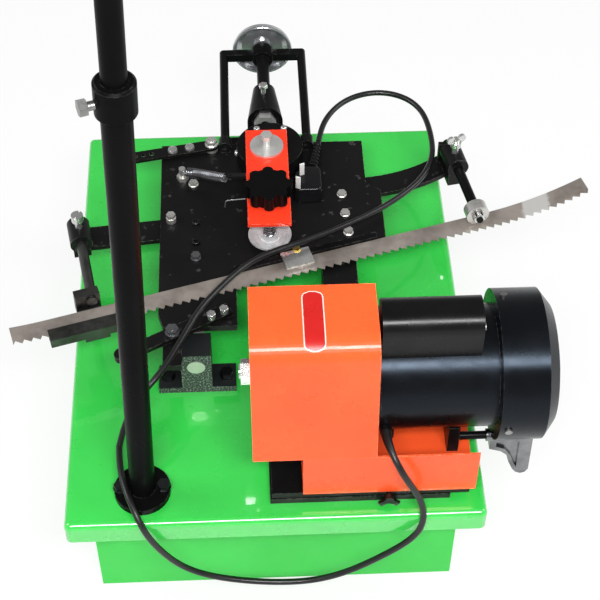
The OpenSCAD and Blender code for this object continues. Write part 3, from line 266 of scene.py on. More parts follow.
def fade(tree, value, low, high):
    """0 below the low value, 1 above the high one, and an even rise between them."""
    return ramp(tree, value, [(low, grey(0)), (high, grey(1))])


def maths(tree, operation, *values):
    """The result of one operation on sockets and plain numbers."""
    node = tree.nodes.new("ShaderNodeMath")
    node.operation = operation
    for socket, value in zip(node.inputs, values):
        if isinstance(value, float):
            socket.default_value = value
        else:
            tree.links.new(value, socket)
    return node.outputs["Value"]


def one_axis(tree, vector, axis):
    """X, Y or Z of a vector."""
    node = tree.nodes.new("ShaderNodeSeparateXYZ")
    tree.links.new(vector, node.inputs["Vector"])
    return node.outputs[axis]


def mix_colours(tree, share, first, second):
    """The first colour, with a share of the second. Each is a colour or a socket."""
    node = tree.nodes.new("ShaderNodeMix")
    node.data_type = "RGBA"
    tree.links.new(share, node.inputs["Factor"])
    for socket, colour in ((node.inputs["A"], first), (node.inputs["B"], second)):
        if isinstance(colour, tuple):
            socket.default_value = colour
        else:
            tree.links.new(colour, socket)
    return node.outputs["Result"]


def edge_wear(tree, width):
    """Bright along edges, where a rounded normal parts from the true one."""
    all_worn = 0.90
    not_worn = 0.985
    rounded = tree.nodes.new("ShaderNodeBevel")
    rounded.samples = 4
    rounded.inputs["Radius"].default_value = width
    geometry = tree.nodes.new("ShaderNodeNewGeometry")
    agree = tree.nodes.new("ShaderNodeVectorMath")
    agree.operation = "DOT_PRODUCT"
    tree.links.new(rounded.outputs["Normal"], agree.inputs[0])
    tree.links.new(geometry.outputs["Normal"], agree.inputs[1])
    return ramp(tree, agree.outputs["Value"], [(all_worn, grey(1)), (not_worn, grey(0))])


# Kinds of material: each is a node tree of noise, bumps and wear


def start_material(name):
    """A new material, its node tree, its shader, and its place coordinates."""
    material = bpy.data.materials.new(name)
    material.use_nodes = True
    tree = material.node_tree
    shader = tree.nodes["Principled BSDF"]
    coords = tree.nodes.new("ShaderNodeTexCoord")
    return material, tree, shader, coords.outputs["Object"]


def bump(tree, shader, height, strength, distance):
    """Makes a surface uneven by a height socket."""
    node = tree.nodes.new("ShaderNodeBump")
    node.inputs["Strength"].default_value = strength
    node.inputs["Distance"].default_value = distance
    tree.links.new(height, node.inputs["Height"])
    tree.links.new(node.outputs["Normal"], shader.inputs["Normal"])


def vary_roughness(tree, shader, value, roughness, smoothest, roughest, until=0.75):
    """Roughness that goes between two shares of its usual value as a noise rises."""
    from_value = 0.3
    stops = [(from_value, grey(roughness * smoothest)), (until, grey(min(1.0, roughness * roughest)))]
    tree.links.new(ramp(tree, value, stops), shader.inputs["Roughness"])


# Clear coats over paint: weight, index of refraction and roughness
NO_COAT = (0.0, 1.5, 0.04)
THIN_COAT = (0.2, 1.5, 0.04)
DEEP_COAT = (1.0, 1.7, 0.04)


def paint(name, colour, shade, roughness, peel, coat=NO_COAT, shine=0.5, tint=None, wear=None):
    """Paint over sheet: clouded colour, orange-peel bump, and edges worn to another colour."""
    material, tree, shader, where = start_material(name)
    cloud = noise(tree, where, scale=9.0, detail=5.0)
    body = mix_colours(tree, fade(tree, cloud, low=0.35, high=0.7), colour, shade)
    if wear is not None:
        scuff = noise(tree, where, scale=260.0, detail=3.0)
        worn = maths(tree, "MULTIPLY", edge_wear(tree, 1.2 * MM), fade(tree, scuff, low=0.45, high=0.62))
        body = mix_colours(tree, worn, body, wear)
    tree.links.new(body, shader.inputs["Base Color"])
    smear = noise(tree, where, scale=26.0, detail=6.0)
    vary_roughness(tree, shader, smear, roughness, smoothest=0.75, roughest=1.35)
    shader.inputs["Specular IOR Level"].default_value = shine
    # A tint on the reflections: where it is given, it is painted light that stands in for the colour of a
    # cool lamp
    if tint is not None:
        shader.inputs["Specular Tint"].default_value = tint
    weight, refraction, coat_roughness = coat
    shader.inputs["Coat Weight"].default_value = weight
    shader.inputs["Coat IOR"].default_value = refraction
    shader.inputs["Coat Roughness"].default_value = coat_roughness
    ripple = noise(tree, where, scale=420.0, detail=2.0)
    bump(tree, shader, ripple, strength=peel, distance=0.4 * MM)
    return material


def metal(name, colour, dark, roughness, grain, stretch=(1, 1, 1), bump_by=0.12, bare=1.0):
    """Bare metal with a drawn or turned grain and a little staining."""
    material, tree, shader, where = start_material(name)
    mapping = tree.nodes.new("ShaderNodeMapping")
    mapping.inputs["Scale"].default_value = stretch
    tree.links.new(where, mapping.inputs["Vector"])
    lines = noise(tree, mapping.outputs["Vector"], scale=grain, detail=6.0, rough=0.7)
    stain = noise(tree, where, scale=35.0, detail=5.0)
    body = mix_colours(tree, fade(tree, stain, low=0.38, high=0.72), colour, dark)
    tree.links.new(body, shader.inputs["Base Color"])
    vary_roughness(tree, shader, lines, roughness, smoothest=0.7, roughest=1.4)
    shader.inputs["Metallic"].default_value = bare
    bump(tree, shader, lines, strength=bump_by, distance=0.3 * MM)
    return material


def rough_cast(name, colour, speck, share):
    """Paint over rough casting: pale specks where the ground face shows through."""
    material, tree, shader, where = start_material(name)
    geometry = tree.nodes.new("ShaderNodeNewGeometry")
    towards_front = maths(tree, "MULTIPLY", one_axis(tree, geometry.outputs["Normal"], "Y"), -1.0)
    front = fade(tree, towards_front, low=0.6, high=0.9)
    grain = noise(tree, where, scale=520.0, detail=2.0, rough=0.6)
    softness = 0.06
    specks = fade(tree, grain, low=1 - share - softness, high=1 - share + softness)
    both = maths(tree, "MULTIPLY", front, specks)
    tree.links.new(mix_colours(tree, both, colour, speck), shader.inputs["Base Color"])
    shader.inputs["Roughness"].default_value = 0.42
    bump(tree, shader, noise(tree, where, scale=300.0), strength=0.5, distance=0.6 * MM)
    return material


def plastic(name, colour, shade, roughness, texture, shine=0.5):
    """Moulded plastic or rubber: clouded colour and a fine grain."""
    material, tree, shader, where = start_material(name)
    cloud = noise(tree, where, scale=60.0)
    tree.links.new(mix_colours(tree, cloud, colour, shade), shader.inputs["Base Color"])
    smear = noise(tree, where, scale=40.0)
    vary_roughness(tree, shader, smear, roughness, smoothest=0.8, roughest=1.2, until=0.7)
    shader.inputs["Specular IOR Level"].default_value = shine
    bump(tree, shader, noise(tree, where, scale=900.0, detail=2.0), strength=texture, distance=0.2 * MM)
    return material


def abrasive(name, dark, colour, pale):
    """Bonded grit in three tones."""
    material, tree, shader, where = start_material(name)
    grit = noise(tree, where, scale=900.0, detail=2.0, rough=0.7)
    grains = ramp(tree, grit, [(0.35, dark), (0.55, colour), (0.75, pale)])
    tree.links.new(grains, shader.inputs["Base Color"])
    shader.inputs["Roughness"].default_value = 0.9
    bump(tree, shader, grit, strength=0.8, distance=0.6 * MM)
    return material


# Changes to a finished material: another colour over part of it


def place_in(material):
    """The node tree of a material and its place coordinates."""
    tree = material.node_tree
    return tree, tree.nodes["Texture Coordinate"].outputs["Object"]


def cover(material, share, colour):
    """Lays another colour over a material by a share socket."""
    tree = material.node_tree
    base = tree.nodes["Principled BSDF"].inputs["Base Color"]
    tree.links.new(mix_colours(tree, share, base.links[0].from_socket, colour), base)


def ground_patch(material, x0, x1, colour):
    """A brighter stretch between two places along X, in millimetres, with a scratched border."""
    tree, where = place_in(material)
    scratch_reach = 6.0 * MM
    scratch = noise(tree, where, scale=160.0)
    ragged = maths(tree, "MULTIPLY_ADD", scratch, scratch_reach, one_axis(tree, where, "X"))
    edge = 1.5
    levels = [(x0, 0), (x0 + edge, 1), (x1, 1), (x1 + edge, 0)]
    cover(material, ramp(tree, ragged, [(place * MM, grey(level)) for place, level in levels]), colour)


def painted_end(material, axis, beyond, colour):
    """Another colour where X or Y is lower than a place in millimetres."""
    tree, where = place_in(material)
    cover(material, maths(tree, "LESS_THAN", one_axis(tree, where, axis), beyond * MM), colour)


def scuffed(material, start, colour):
    """Sparse scuffs all over, where the noise is higher than start."""
    tree, where = place_in(material)
    softness = 0.06
    cover(material, fade(tree, noise(tree, where, scale=85.0), low=start, high=start + softness), colour)


# Paints

WORN_GREEN = srgb(150, 225, 150)
green = paint(
    "green_gloss", srgb(56, 212, 80), srgb(50, 200, 73),
    roughness=0.3, peel=0.03, coat=DEEP_COAT, wear=WORN_GREEN,
)
green_side = paint(
    "green_side", srgb(58, 204, 78), srgb(52, 192, 70),
    roughness=0.4, peel=0.03, coat=THIN_COAT, shine=0.2, wear=WORN_GREEN,
)
orange = paint(
    "orange_gloss", srgb(255, 96, 46), srgb(248, 86, 40),
    roughness=0.3, peel=0.06, coat=THIN_COAT, shine=0.25, wear=srgb(255, 170, 130),
)
red_orange = paint(
    "lever_paint", srgb(250, 62, 34), srgb(240, 54, 28),
    roughness=0.3, peel=0.06, coat=THIN_COAT, shine=0.3, wear=srgb(255, 160, 130),
)
painted_end(red_orange, "X", beyond=-21.5, colour=srgb(20, 20, 21))
black = paint(
    "black_satin", srgb(17, 17, 18), srgb(11, 11, 12),
    roughness=0.32, peel=0.06, shine=0.1, wear=srgb(90, 88, 86),
)
post_black = paint(
    "post_black", srgb(14, 14, 15), srgb(10, 10, 11),
    roughness=0.3, peel=0.04, shine=0.03, wear=srgb(70, 69, 68),
)
bed_black = paint(
    "bed_black", srgb(18, 17, 17), srgb(12, 12, 12),
    roughness=0.42, peel=0.2, shine=0.2, wear=srgb(110, 108, 104),
)
scuffed(bed_black, start=0.64, colour=srgb(60, 59, 58))
# The bluish tint on the motor's reflections is painted light: it stands in for the colour of a cool lamp,
# not of the paint
motor_black = paint(
    "motor_black", srgb(15, 15, 16), srgb(10, 10, 11),
    roughness=0.26, peel=0.04, shine=0.24, tint=srgb(205, 228, 255), wear=srgb(70, 70, 72),
)
cast = rough_cast("rough_cast", srgb(24, 28, 28), speck=srgb(150, 160, 158), share=0.42)

# Metals


def zinc_plate(name):
    """Bright zinc plating on a fastener or a turned part."""
    return metal(name, srgb(218, 217, 213), srgb(176, 174, 169), roughness=0.3, grain=300.0, bare=0.75)


zinc = zinc_plate("zinc")
bed_zinc = zinc_plate("bed_zinc")
painted_end(bed_zinc, "Y", beyond=25, colour=srgb(112, 113, 115))
dull = metal("dull_zinc", srgb(170, 170, 168), srgb(120, 120, 118), roughness=0.38, grain=180.0)
dark_zinc = metal("dark_zinc", srgb(74, 76, 78), srgb(44, 45, 47), roughness=0.36, grain=240.0)
satin = metal("satin_zinc", srgb(226, 226, 223), srgb(198, 198, 195), roughness=0.42, grain=260.0, bare=0.7)
cast_zinc = metal(
    "cast_zinc", srgb(150, 151, 152), srgb(104, 105, 106),
    roughness=0.24, grain=160.0, bump_by=0.06,
)
bright = metal(
    "bright_steel", srgb(228, 228, 226), srgb(190, 190, 188),
    roughness=0.24, grain=220.0, bump_by=0.04, bare=0.85,
)
chrome = metal(
    "chrome_plate", srgb(188, 190, 193), srgb(146, 148, 151),
    roughness=0.16, grain=30.0, bump_by=0.02, bare=0.7,
)
spring_steel = metal(
    "spring_steel", srgb(176, 178, 182), srgb(120, 122, 126),
    roughness=0.2, grain=200.0, bump_by=0.04, bare=0.95,
)
shaft_steel = metal(
    "shaft_steel", srgb(196, 202, 190), srgb(168, 176, 160),
    roughness=0.4, grain=140.0, stretch=(1, 12, 1), bare=0.4,
)
blade_steel = metal(
    "blade_steel", srgb(170, 161, 153), srgb(128, 119, 112),
    roughness=0.4, grain=90.0, stretch=(0.4, 6, 6), bare=0.5,
)
ground_patch(blade_steel, x0=306, x1=336, colour=srgb(214, 212, 208))
guide_steel = metal("guide_steel", srgb(92, 92, 90), srgb(66, 66, 64), roughness=0.44, grain=160.0)
spun = metal(
    "spun_alloy", srgb(232, 233, 234), srgb(176, 178, 180),
    roughness=0.3, grain=90.0, bump_by=0.03, bare=0.4,
)
brass = metal("brass", srgb(206, 176, 92), srgb(160, 130, 60), roughness=0.28, grain=220.0)
copper = metal(
    "winding", srgb(200, 120, 70), srgb(140, 80, 44),
    roughness=0.4, grain=500.0, stretch=(1, 20, 20),
)

# Plastics, rubber and grit

sheath = plastic("lead_sheath", srgb(26, 26, 27), srgb(18, 18, 19), roughness=0.34, texture=0.08)
gloss_black = plastic(
    "gloss_black", srgb(13, 13, 14), srgb(9, 9, 10),
    roughness=0.28, texture=0.05, shine=0.28,
)
knob_black = plastic(
    "knob_black", srgb(13, 13, 14), srgb(9, 9, 10),
    roughness=0.26, texture=0.05, shine=0.09,
)
plug_black = plastic(
    "plug_black", srgb(20, 20, 22), srgb(14, 14, 16),
    roughness=0.26, texture=0.1, shine=0.3,
)
pin_plate = plastic("pin_plate", srgb(236, 236, 233), srgb(214, 214, 211), roughness=0.3, texture=0.04)
fan_plastic = plastic("fan_plastic", srgb(38, 38, 40), srgb(26, 26, 28), roughness=0.5, texture=0.2)
sticker_red = plastic("sticker_red", srgb(200, 34, 30), srgb(186, 26, 24), roughness=0.3, texture=0.05)
sticker_pale = plastic("sticker_pale", srgb(238, 222, 212), srgb(230, 212, 202), roughness=0.3, texture=0.05)
wheel_grit = abrasive(
    "wheel_grit", dark=srgb(104, 92, 86), colour=srgb(164, 150, 142), pale=srgb(205, 198, 192)
)

# Material and rounded edges of each solid


def dress(piece, material):
    """Gives a piece one material."""
    piece.data.materials.clear()
    piece.data.materials.append(material)


# Each finish and the solids that have it
FINISHES = [
    (green, ["deck"]),
    (green_side, ["cabinet"]),
    (orange, ["wheel_hood", "motor_tray"]),
    (red_orange, ["feed_lever"]),
    (post_black, ["post_tube", "post_collar", "inner_tube"]),
    (black, [
        "screw_bracket", "screw_yoke", "feed_screw", "feed_housing", "blade_fence", "roller_rod",
        "slide_carriage", "motor_foot", "clamp_rod",
    ]),
    (bed_black, [
        "bed_plate", "right_arm", "left_arm", "stop_lever", "index_link", "slide_blocks", "slide_rail",
    ]),
    (motor_black, ["motor_shell", "end_shields", "fan_cover"]),
    (cast, ["front_pedestals", "rear_pedestals"]),
    (zinc, ["roller", "wheel_flanges"]),
    (bed_zinc, ["bed_screws"]),
    (dull, ["post_screw", "grinder_screws", "presser_stud"]),
    (dark_zinc, ["rail_lock_screw", "deck_bolts"]),
    (satin, ["screw_nut", "pivot_bolt"]),
    (cast_zinc, ["clamp_handle"]),
    (bright, [
        "rotor_shaft", "arbor_nut", "motor_bearings", "hold_down", "right_clamp_screw", "left_clamp_screw",
    ]),
    (chrome, ["handwheel"]),
    (shaft_steel, ["guide_shafts"]),
    (blade_steel, ["blade"]),
    (guide_steel, ["guide_shoe"]),
    (spun, ["presser_cup"]),
    (copper, ["stator"]),
    (gloss_black, ["capacitor_box"]),
    (knob_black, ["star_knob"]),
    (fan_plastic, ["cooling_fan"]),
    (wheel_grit, ["grinding_wheel"]),
]
for material, names in FINISHES:
    for name in names:
        dress(nodes[name], material)

# Radius in millimetres, and the solids whose edges have it
ROUNDED = [
    (0.3, ["presser_cup"]),
    (0.4, ["hold_down", "deck_bolts", "bed_screws"]),
    (0.5, [
        "wheel_hood", "motor_tray", "blade_fence", "arbor_nut", "post_screw", "right_clamp_screw",
        "left_clamp_screw",
    ]),
    (0.6, [
        "feed_lever", "index_link", "pivot_bolt", "inner_tube", "handwheel", "slide_blocks",
        "guide_shafts", "rail_lock_screw", "wheel_flanges", "screw_nut", "grinder_screws",
    ]),
    (0.8, [
        "bed_plate", "right_arm", "left_arm", "stop_lever", "screw_yoke", "slide_rail",
        "slide_carriage", "post_tube", "motor_foot", "cabinet",
    ]),
    (0.9, ["guide_shoe"]),
    (1.0, ["capacitor_box"]),
    (1.2, ["front_pedestals", "rear_pedestals", "fan_cover", "feed_housing", "post_collar"]),
    (1.5, ["screw_bracket"]),
    (1.6, ["star_knob"]),
    (2.0, ["clamp_handle"]),
    (3.0, ["roller"]),
]
ROUNDED_FROM = math.radians(40)


def round_off(piece, radius):
    """Rounds the sharper edges of a solid."""
    bevel = piece.modifiers.new("edge", "BEVEL")
    bevel.width = radius * MM
    bevel.segments = 3
    bevel.limit_method = "ANGLE"
    bevel.angle_limit = ROUNDED_FROM
    bevel.harden_normals = True


for radius, names in ROUNDED:
    for name in names:
        round_off(nodes[name], radius)


def fit(piece, body, material):
    """Dresses a piece and mounts it on a body."""
    dress(piece, material)
    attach(piece, body)


def stand_in(piece, node, material):
    """Dresses a piece and hides the solid whose place it takes."""
    dress(piece, material)
    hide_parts(node)


# Mains lead: one route in two lengths

# Diameter in metres, and the route in millimetres from the deck's middle
LEAD_DIAMETER = 0.007
LEAD_SIDES = 12
LEAD_ROUTE = [
    (116, -253.1, 88), (116, -262, 88), (117, -267, 88), (119.5, -276, 86.2), (123.5, -284.6, 81.2),
    (128.5, -291.1, 73.5), (134, -294.6, 63), (140.5, -295.3, 50), (147, -295.8, 36), (152.5, -297, 22),
    (155.5, -300, 9), (155.5, -304, -4), (152.5, -307, -15), (146, -308.7, -26), (137.5, -309.6, -37),
    (126, -310, -49), (112, -310, -62), (96, -310, -76), (76, -310, -92), (47, -310, -106),
    (14, -309, -112), (-30, -308, -108), (-68, -307, -98), (-96, -307, -82), (-116, -307, -57),
    (-130, -308, -26), (-137, -308, -7), (-142.5, -304, 8), (-150, -291, 18), (-160, -266, 23),
    (-166, -240, 22.5), (-167, -212, 21), (-161, -197, 38), (-150, -187, 60), (-138, -180, 74),
    (-126, -170, 82), (-115, -156, 85), (-104, -134, 87), (-89, -106, 91), (-77, -82, 95),
    (-60, -60, 95), (-37, -29, 93), (-14, -7, 91), (9, 3, 93), (38, 14, 93), (74, 32, 91),
    (110, 54, 88), (141, 75, 86), (173, 102, 86), (195, 128, 87), (205, 156, 88), (207, 180, 88),
    (205, 210, 89), (200, 236, 89), (186, 257, 90), (163, 270, 90), (138, 272, 90), (114, 264, 90),
    (96, 250, 90), (82, 232, 89), (74.2, 214, 88.4), (70.4, 198, 88), (68, 186.1, 88),
]
LEAD_SPLIT = LEAD_ROUTE.index((-167, -212, 21))
lead_points = [deck(*p) for p in LEAD_ROUTE]

# Steps between two points of a route, and how often each length of the lead is eased
ROUTE_STEPS = 6
MOTOR_PASSES = 32
PLUG_PASSES = 24


def relaxed(line, passes):
    """The line with its tighter bends eased; its ends stay."""
    for _ in range(passes):
        inner = [(a + b * 2 + c) / 4 for a, b, c in zip(line, line[1:], line[2:])]
        line = [line[0]] + inner + [line[-1]]
    return line


motor_line = relaxed(smooth_path(lead_points[: LEAD_SPLIT + 1], ROUTE_STEPS), MOTOR_PASSES)
plug_line = relaxed(smooth_path(lead_points[LEAD_SPLIT:], ROUTE_STEPS), PLUG_PASSES)

motor_lead = tube_mesh("lead_motor_side", motor_line, LEAD_DIAMETER / 2, LEAD_SIDES)
stand_in(motor_lead, "mains_lead", sheath)
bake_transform(motor_lead)

# Rubber sleeve at the motor: steps of the lead, and its wall in millimetres
RELIEF_STEPS = 20
RELIEF_WALL = 2.2
RELIEF_TAPER = 2.0


def relief_radius(step):
    """Radius of the sleeve, which gets thinner away from the motor."""
    return LEAD_DIAMETER / 2 + (RELIEF_WALL - RELIEF_TAPER * step / RELIEF_STEPS) * MM


gland_relief = tube_mesh("gland_relief", motor_line[: RELIEF_STEPS + 1], relief_radius, sides=16)
fit(gland_relief, "carriage", sheath)

plug_lead = tube_mesh("lead_plug_side", plug_line, LEAD_DIAMETER / 2, LEAD_SIDES)
stand_in(plug_lead, "mains_lead", sheath)
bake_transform(plug_lead)

# Plug: moulded body that lies on its back, two flat pins that point up, and a ribbed sleeve, in millimetres

PLUG_OUTLINE = [(34, 99), (38, 95), (66, 95), (70, 99), (70, 136), (65, 141), (46, 141), (34, 129)]
PLUG_HIGH = 95.0
PLUG_EDGE = 4.5
PLUG_TAPER = 0.86
PIN_OUTLINE = [(-3, -0.9), (3, -0.9), (3, 0.9), (-3, 0.9)]
PIN_LENGTH = 19
PIN_EDGE = 0.6
PIN_SUNK = 1
# Place of each pin and its turn in degrees
PLUG_PINS = [(45, 123, 20), (39.5, 101, -20)]


def prism(name, outline, low, high, radius, taper=1.0):
    """A prism with rounded edges, narrower at its top by taper. Sizes in millimetres."""
    corners = [Vector(p) for p in outline]
    count = len(corners)
    middle = sum(corners, Vector((0, 0))) / count
    work = bmesh.new()
    rings = []
    for height, share in ((low, 1.0), (high, taper)):
        spots = [middle + (corner - middle) * share for corner in corners]
        rings.append([work.verts.new(deck(*spot, height)) for spot in spots])
    work.faces.new(rings[0][::-1])
    work.faces.new(rings[1])
    for i in range(count):
        j = (i + 1) % count
        work.faces.new((rings[0][i], rings[0][j], rings[1][j], rings[1][i]))
    bmesh.ops.bevel(
        work,
        geom=list(work.edges),
        offset=radius * MM,
        segments=4,
        profile=0.5,
        affect="EDGES",
        clamp_overlap=True,
    )
    mesh = bpy.data.meshes.new(name)
    work.to_mesh(mesh)
    work.free()
    return add_object(name, mesh)


plug_body = prism("plug_body", PLUG_OUTLINE, BED_TOP, PLUG_HIGH, PLUG_EDGE, PLUG_TAPER)
fit(plug_body, "bed", plug_black)
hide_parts("mains_plug")
for index, (pin_x, pin_y, pin_turn) in enumerate(PLUG_PINS):
    pin = prism(f"plug_pin_{index}", PIN_OUTLINE, 0, PIN_LENGTH, PIN_EDGE)
    to_origin = Matrix.Translation(-deck(0, 0, 0))
    turn = Matrix.Rotation(math.radians(pin_turn), 4, "Z")
    pin.data.transform(Matrix.Translation(deck(pin_x, pin_y, PLUG_HIGH - PIN_SUNK)) @ turn @ to_origin)
    fit(pin, "bed", pin_plate)

SLEEVE_START = deck(58, 140, 88)
SLEEVE_END = deck(68, 186, 88)
SLEEVE_STEPS = 44
SLEEVE_RADIUS = 7.5
SLEEVE_TAPER = 3.2
RIB_STEPS = 3
GROOVE_SHARE = 0.72
# Share of the length after which the sleeve has no ribs, and its radius there as a share
PLAIN_FROM = 0.86
PLAIN_SHARE = 0.78
sleeve_line = [SLEEVE_START.lerp(SLEEVE_END, i / SLEEVE_STEPS) for i in range(SLEEVE_STEPS + 1)]


def sleeve_radius(step):
    """Radius of the sleeve, whose ribs get smaller towards the lead."""
    along = step / SLEEVE_STEPS
    on_rib = (step // RIB_STEPS) % 2 == 0
    share = 1.0 if on_rib else GROOVE_SHARE
    if along >= PLAIN_FROM:
        share = PLAIN_SHARE
    return (SLEEVE_RADIUS - SLEEVE_TAPER * along) * share * MM


plug_sleeve = tube_mesh("plug_sleeve", sleeve_line, sleeve_radius, sides=20)
fit(plug_sleeve, "bed", plug_black)

# Springs: wound wire, each wound between two places

TURN_STEPS = 18
# Steps over which the first and the last turn grow from the axis
GROW_STEPS = 6
HOOK_STEPS = 9
HOOK_SWEEP = math.pi * 1.4


def hook_point(at, along, other, size, angle):
    """Point on the round hook at an end of a spring."""
    return at + along * (size - size * math.cos(angle)) + other * size * math.sin(angle)


def coil(start, end, radius, turns, lead_in=0.0, hook=0.0):
    """Points of a helix between two places, with a hook at each end if it has a size."""
    along = (end - start).normalized()
    side = along.orthogonal().normalized()
    other = along.cross(side)
    wound = (end - start).length - 2 * lead_in
    sweep = [HOOK_SWEEP * k / HOOK_STEPS for k in range(HOOK_STEPS + 1)] if hook else []
    line = [hook_point(start, along, other, hook, angle) for angle in reversed(sweep)]
    count = turns * TURN_STEPS
    for i in range(count + 1):
        grow = min(1.0, i / GROW_STEPS, (count - i) / GROW_STEPS) if lead_in else 1.0
        place = start + along * (lead_in + wound * i / count)
        line.append(place + around(side, other, i, TURN_STEPS) * radius * grow)
    line += [hook_point(end, -along, -other, hook, angle) for angle in sweep]
    return line


SPRING_POST = deck(-98, 142, 88)
SPRING_LUG = deck(-40, 110, 103.3)
RETURN_WIRE = 0.8 * MM
return_line = coil(SPRING_POST, SPRING_LUG, radius=5.3 * MM, turns=23, lead_in=7 * MM, hook=2.6 * MM)
return_spring = tube_mesh("return_coil", return_line, RETURN_WIRE, sides=8)
stand_in(return_spring, "return_spring", spring_steel)
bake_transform(return_spring)

PRESSER_LOW = deck(4, 36, 86.5)
PRESSER_HIGH = deck(4, 36, 104.9)
PRESSER_WIRE = 1.1 * MM
presser_line = coil(PRESSER_LOW, PRESSER_HIGH, radius=6.6 * MM, turns=5)
presser_spring = tube_mesh("presser_coil", presser_line, PRESSER_WIRE, sides=10)
stand_in(presser_spring, "presser_spring", spring_steel)
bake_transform(presser_spring)

# Red sticker with a pale border, on the hood's top and down over its bend, in millimetres

HOOD_BEND_Y = -233.5
HOOD_BEND_Z = 204.0
HOOD_BEND_RADIUS = 26.0
STICKER_LEFT = 30
STICKER_RIGHT = 52
STICKER_BACK = -180
STICKER_LENGTH = 74
STICKER_ROWS = 28


def hood_point(x, along):
    """Place on the hood's outside and the way out there, along millimetres from the sticker's back."""
    flat = STICKER_BACK - HOOD_BEND_Y
    if along <= flat:
        return Vector((x, STICKER_BACK - along, HOOD_BEND_Z + HOOD_BEND_RADIUS)), UP
    turn = (along - flat) / HOOD_BEND_RADIUS
    out = Vector((0, -math.sin(turn), math.cos(turn)))
    return Vector((x, HOOD_BEND_Y, HOOD_BEND_Z)) + out * HOOD_BEND_RADIUS, out


def sticker(name, inset, corner, lift):
    """A sheet with round corners, set in from the sticker's edge and lifted off the hood."""
    points = []
    first = inset
    last = STICKER_LENGTH - inset
    for row in range(STICKER_ROWS + 1):
        along = first + (last - first) * row / STICKER_ROWS
        to_end = min(along - first, last - along)
        cut = 0.0
        if to_end < corner:
            cut = corner - math.sqrt(max(0.0, corner**2 - (corner - to_end) ** 2))
        for x in (STICKER_LEFT + inset + cut, STICKER_RIGHT - inset - cut):
            spot, out = hood_point(x, along)
            points.append(deck(*(spot + out * lift)))
    faces = [(2 * row, 2 * row + 1, 2 * row + 3, 2 * row + 2) for row in range(STICKER_ROWS)]
    return from_data(name, points, faces)


fit(sticker("sticker_border", inset=0, corner=8, lift=0.15), "carriage", sticker_pale)
fit(sticker("sticker_field", inset=1.2, corner=7, lift=0.3), "carriage", sticker_red)

# Small fasteners: places in millimetres from the deck's middle, angles in degrees


def polar(pivot, angle, away):
    """Place on the level at a distance and an angle from a pivot."""
    turn = math.radians(angle)
    return Vector((pivot[0] + away * math.cos(turn), pivot[1] + away * math.sin(turn)))


LINK_PIVOT = (-63, 192)
LINK_ANGLE = 191
LINK_SCREWS = (27, 48)
LINK_HEAD = [(6.2, 0), (6.2, 1.2), (5.4, 3), (3.4, 4), (0.2, 4.3)]
for index, away in enumerate(LINK_SCREWS):
    spot = deck(*polar(LINK_PIVOT, LINK_ANGLE, away), LINK_TOP)
    fit(turned(f"link_screw_{index}", LINK_HEAD, spot), "link", bright)

SET_SCREW = deck(3, 265, 97)
SET_SHANK = [(3, 0), (3, 10.4), (2.6, 11), (3, 11.6), (3, 13)]
SET_HEAD_LIFT = 12 * MM
fit(turned("set_screw_shank", SET_SHANK, SET_SCREW), "root", bright)
set_head = hex_head("set_screw_head", SET_SCREW + UP * SET_HEAD_LIFT, width=10, height=5)
fit(set_head, "root", bright)

ROLLER_CLAMP = deck(230, 147, 90)
ROLLER_ROD_ANGLE = 10.5 - 90
ROLLER_ROD_REACH = 97.4 * MM
ROLLER_ROD_WAY = polar((0, 0), ROLLER_ROD_ANGLE, 1).to_3d()
ROLLER_END = ROLLER_CLAMP + ROLLER_ROD_WAY * ROLLER_ROD_REACH
axle_nut = hex_head("axle_nut", ROLLER_END, width=13.4, height=5.8, axis=ROLLER_ROD_WAY)
fit(axle_nut, "roller_arm", bright)

STOP_PIVOT = (-107.5, -104)
STOP_ANGLE = 28
STOP_SCREWS = (47, 63)
STOP_ASIDE = 3.2
STOP_SEAT = 81.2
COLLAR_HEIGHT = 4.2
STOP_COLLAR = [(4.4, 0), (4.4, 3.8), (3.9, COLLAR_HEIGHT)]
for index, away in enumerate(STOP_SCREWS):
    on_lever = polar(STOP_PIVOT, STOP_ANGLE, away)
    spot = deck(*polar(on_lever, STOP_ANGLE - 90, STOP_ASIDE), STOP_SEAT)
    fit(turned(f"stop_collar_{index}", STOP_COLLAR, spot), "stop", bright)
    head = hex_head(f"stop_screw_{index}", spot + UP * COLLAR_HEIGHT * MM, width=9.5, height=4.2)
    fit(head, "stop", bright)

HOUSING_HEAD = [(4, 0), (4, 1), (3.5, 2.3), (2.3, 3.2), (0.2, 3.5)]
HOUSING_SCREWS = [((-7, 199, 100), UP), ((26, 199, 100), UP), ((-31.6, 170, 88), Vector((-1, 0, 0)))]
for index, (place, axis) in enumerate(HOUSING_SCREWS):
    fit(turned(f"housing_screw_{index}", HOUSING_HEAD, deck(*place), axis), "bed", bright)

SOCKET_HEAD = [(4.5, 0), (4.5, 3.2), (4.1, 3.6), (2.4, 3.6), (2.2, 1.4)]
SOCKET_SCREWS = [(-82, 67), (-82, 35)]
for index, place in enumerate(SOCKET_SCREWS):
    socket_screw = turned(f"socket_screw_{index}", SOCKET_HEAD, deck(*place, BED_TOP))
    fit(socket_screw, "bed", dark_zinc)

CATCH_ROUTE = [(-47.5, 93, 74), (-47.2, 92.9, 80), (-45, 92, 85.5), (-35, 87, 92), (-23, 81, 99)]
CATCH_WIRE = 0.7 * MM
catch_line = smooth_path([deck(*p) for p in CATCH_ROUTE], ROUTE_STEPS)
fit(tube_mesh("catch_wire", catch_line, CATCH_WIRE, sides=8), "bed", bright)

fit(hex_head("fence_screw", deck(34, 13, FENCE_TOP), width=9, height=5), "bed", brass)

# Floor, which shows nearly white and keeps the shadow

FLOOR_REACH = 12.0
FLOOR_GLOW = 0.82


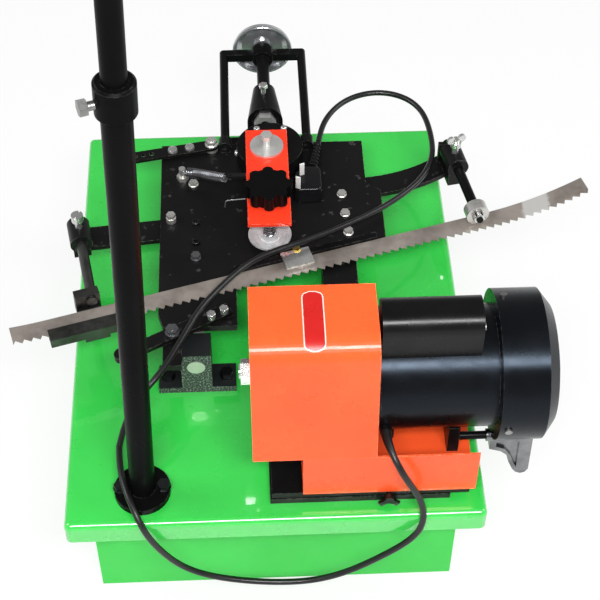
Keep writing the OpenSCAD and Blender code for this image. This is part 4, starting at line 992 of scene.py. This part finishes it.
def make_floor():
    """A level sheet with a part of its own light, seen by the eye and in reflections."""
    mesh = bpy.data.meshes.new("floor")
    corners = [(-1, -1), (1, -1), (1, 1), (-1, 1)]
    mesh.from_pydata([(x * FLOOR_REACH, y * FLOOR_REACH, 0) for x, y in corners], [], [(0, 1, 2, 3)])
    floor = bpy.data.objects.new("floor", mesh)
    scene.collection.objects.link(floor)
    material, tree, shader, _ = start_material("floor_pale")
    shader.inputs["Base Color"].default_value = grey(0.9)
    shader.inputs["Roughness"].default_value = 0.85
    shader.inputs["Specular IOR Level"].default_value = 0.1
    glow = tree.nodes.new("ShaderNodeEmission")
    glow.inputs["Color"].default_value = grey(1)
    paths = tree.nodes.new("ShaderNodeLightPath")
    seen = paths.outputs["Is Camera Ray"]
    for kind in ("Is Glossy Ray", "Is Transmission Ray"):
        seen = maths(tree, "MAXIMUM", seen, paths.outputs[kind])
    both = tree.nodes.new("ShaderNodeMixShader")
    tree.links.new(maths(tree, "MULTIPLY", seen, FLOOR_GLOW), both.inputs["Fac"])
    tree.links.new(shader.outputs["BSDF"], both.inputs[1])
    tree.links.new(glow.outputs["Emission"], both.inputs[2])
    tree.links.new(both.outputs["Shader"], tree.nodes["Material Output"].inputs["Surface"])
    dress(floor, material)


make_floor()

# Light: a dim room, brighter near the floor, and three soft lamps

ROOM_LIGHT = [(0.0, grey(0.5)), (0.4, grey(0.26)), (1.0, grey(0.18))]


def make_world():
    """Light from all around that changes with height."""
    world = bpy.data.worlds.new("world")
    scene.world = world
    world.use_nodes = True
    tree = world.node_tree
    ambient = tree.nodes["Background"]
    ambient.inputs["Strength"].default_value = 1.0
    where = tree.nodes.new("ShaderNodeTexCoord").outputs["Generated"]
    tree.links.new(ramp(tree, one_axis(tree, where, "Z"), ROOM_LIGHT), ambient.inputs["Color"])


def softbox(name, place, aim, size, power):
    """A wide lamp that looks at a place. Places and sizes in metres, power in watts."""
    data = bpy.data.lights.new(name, "AREA")
    data.shape = "RECTANGLE"
    data.size, data.size_y = size
    data.energy = power
    lamp = bpy.data.objects.new(name, data)
    lamp.location = place
    lamp.rotation_euler = (Vector(aim) - Vector(place)).to_track_quat("-Z", "Y").to_euler()
    scene.collection.objects.link(lamp)


make_world()
softbox("key", place=(0.1, -1.6, 2.2), aim=(0.02, 0, 0.2), size=(1.44, 0.46), power=66)
softbox("left", place=(-1.9, 0.1, 1.9), aim=(0, 0, 0.2), size=(1.0, 1.4), power=20)
softbox("right", place=(1.9, 0.2, 1.8), aim=(0, 0, 0.2), size=(1.0, 1.4), power=18)
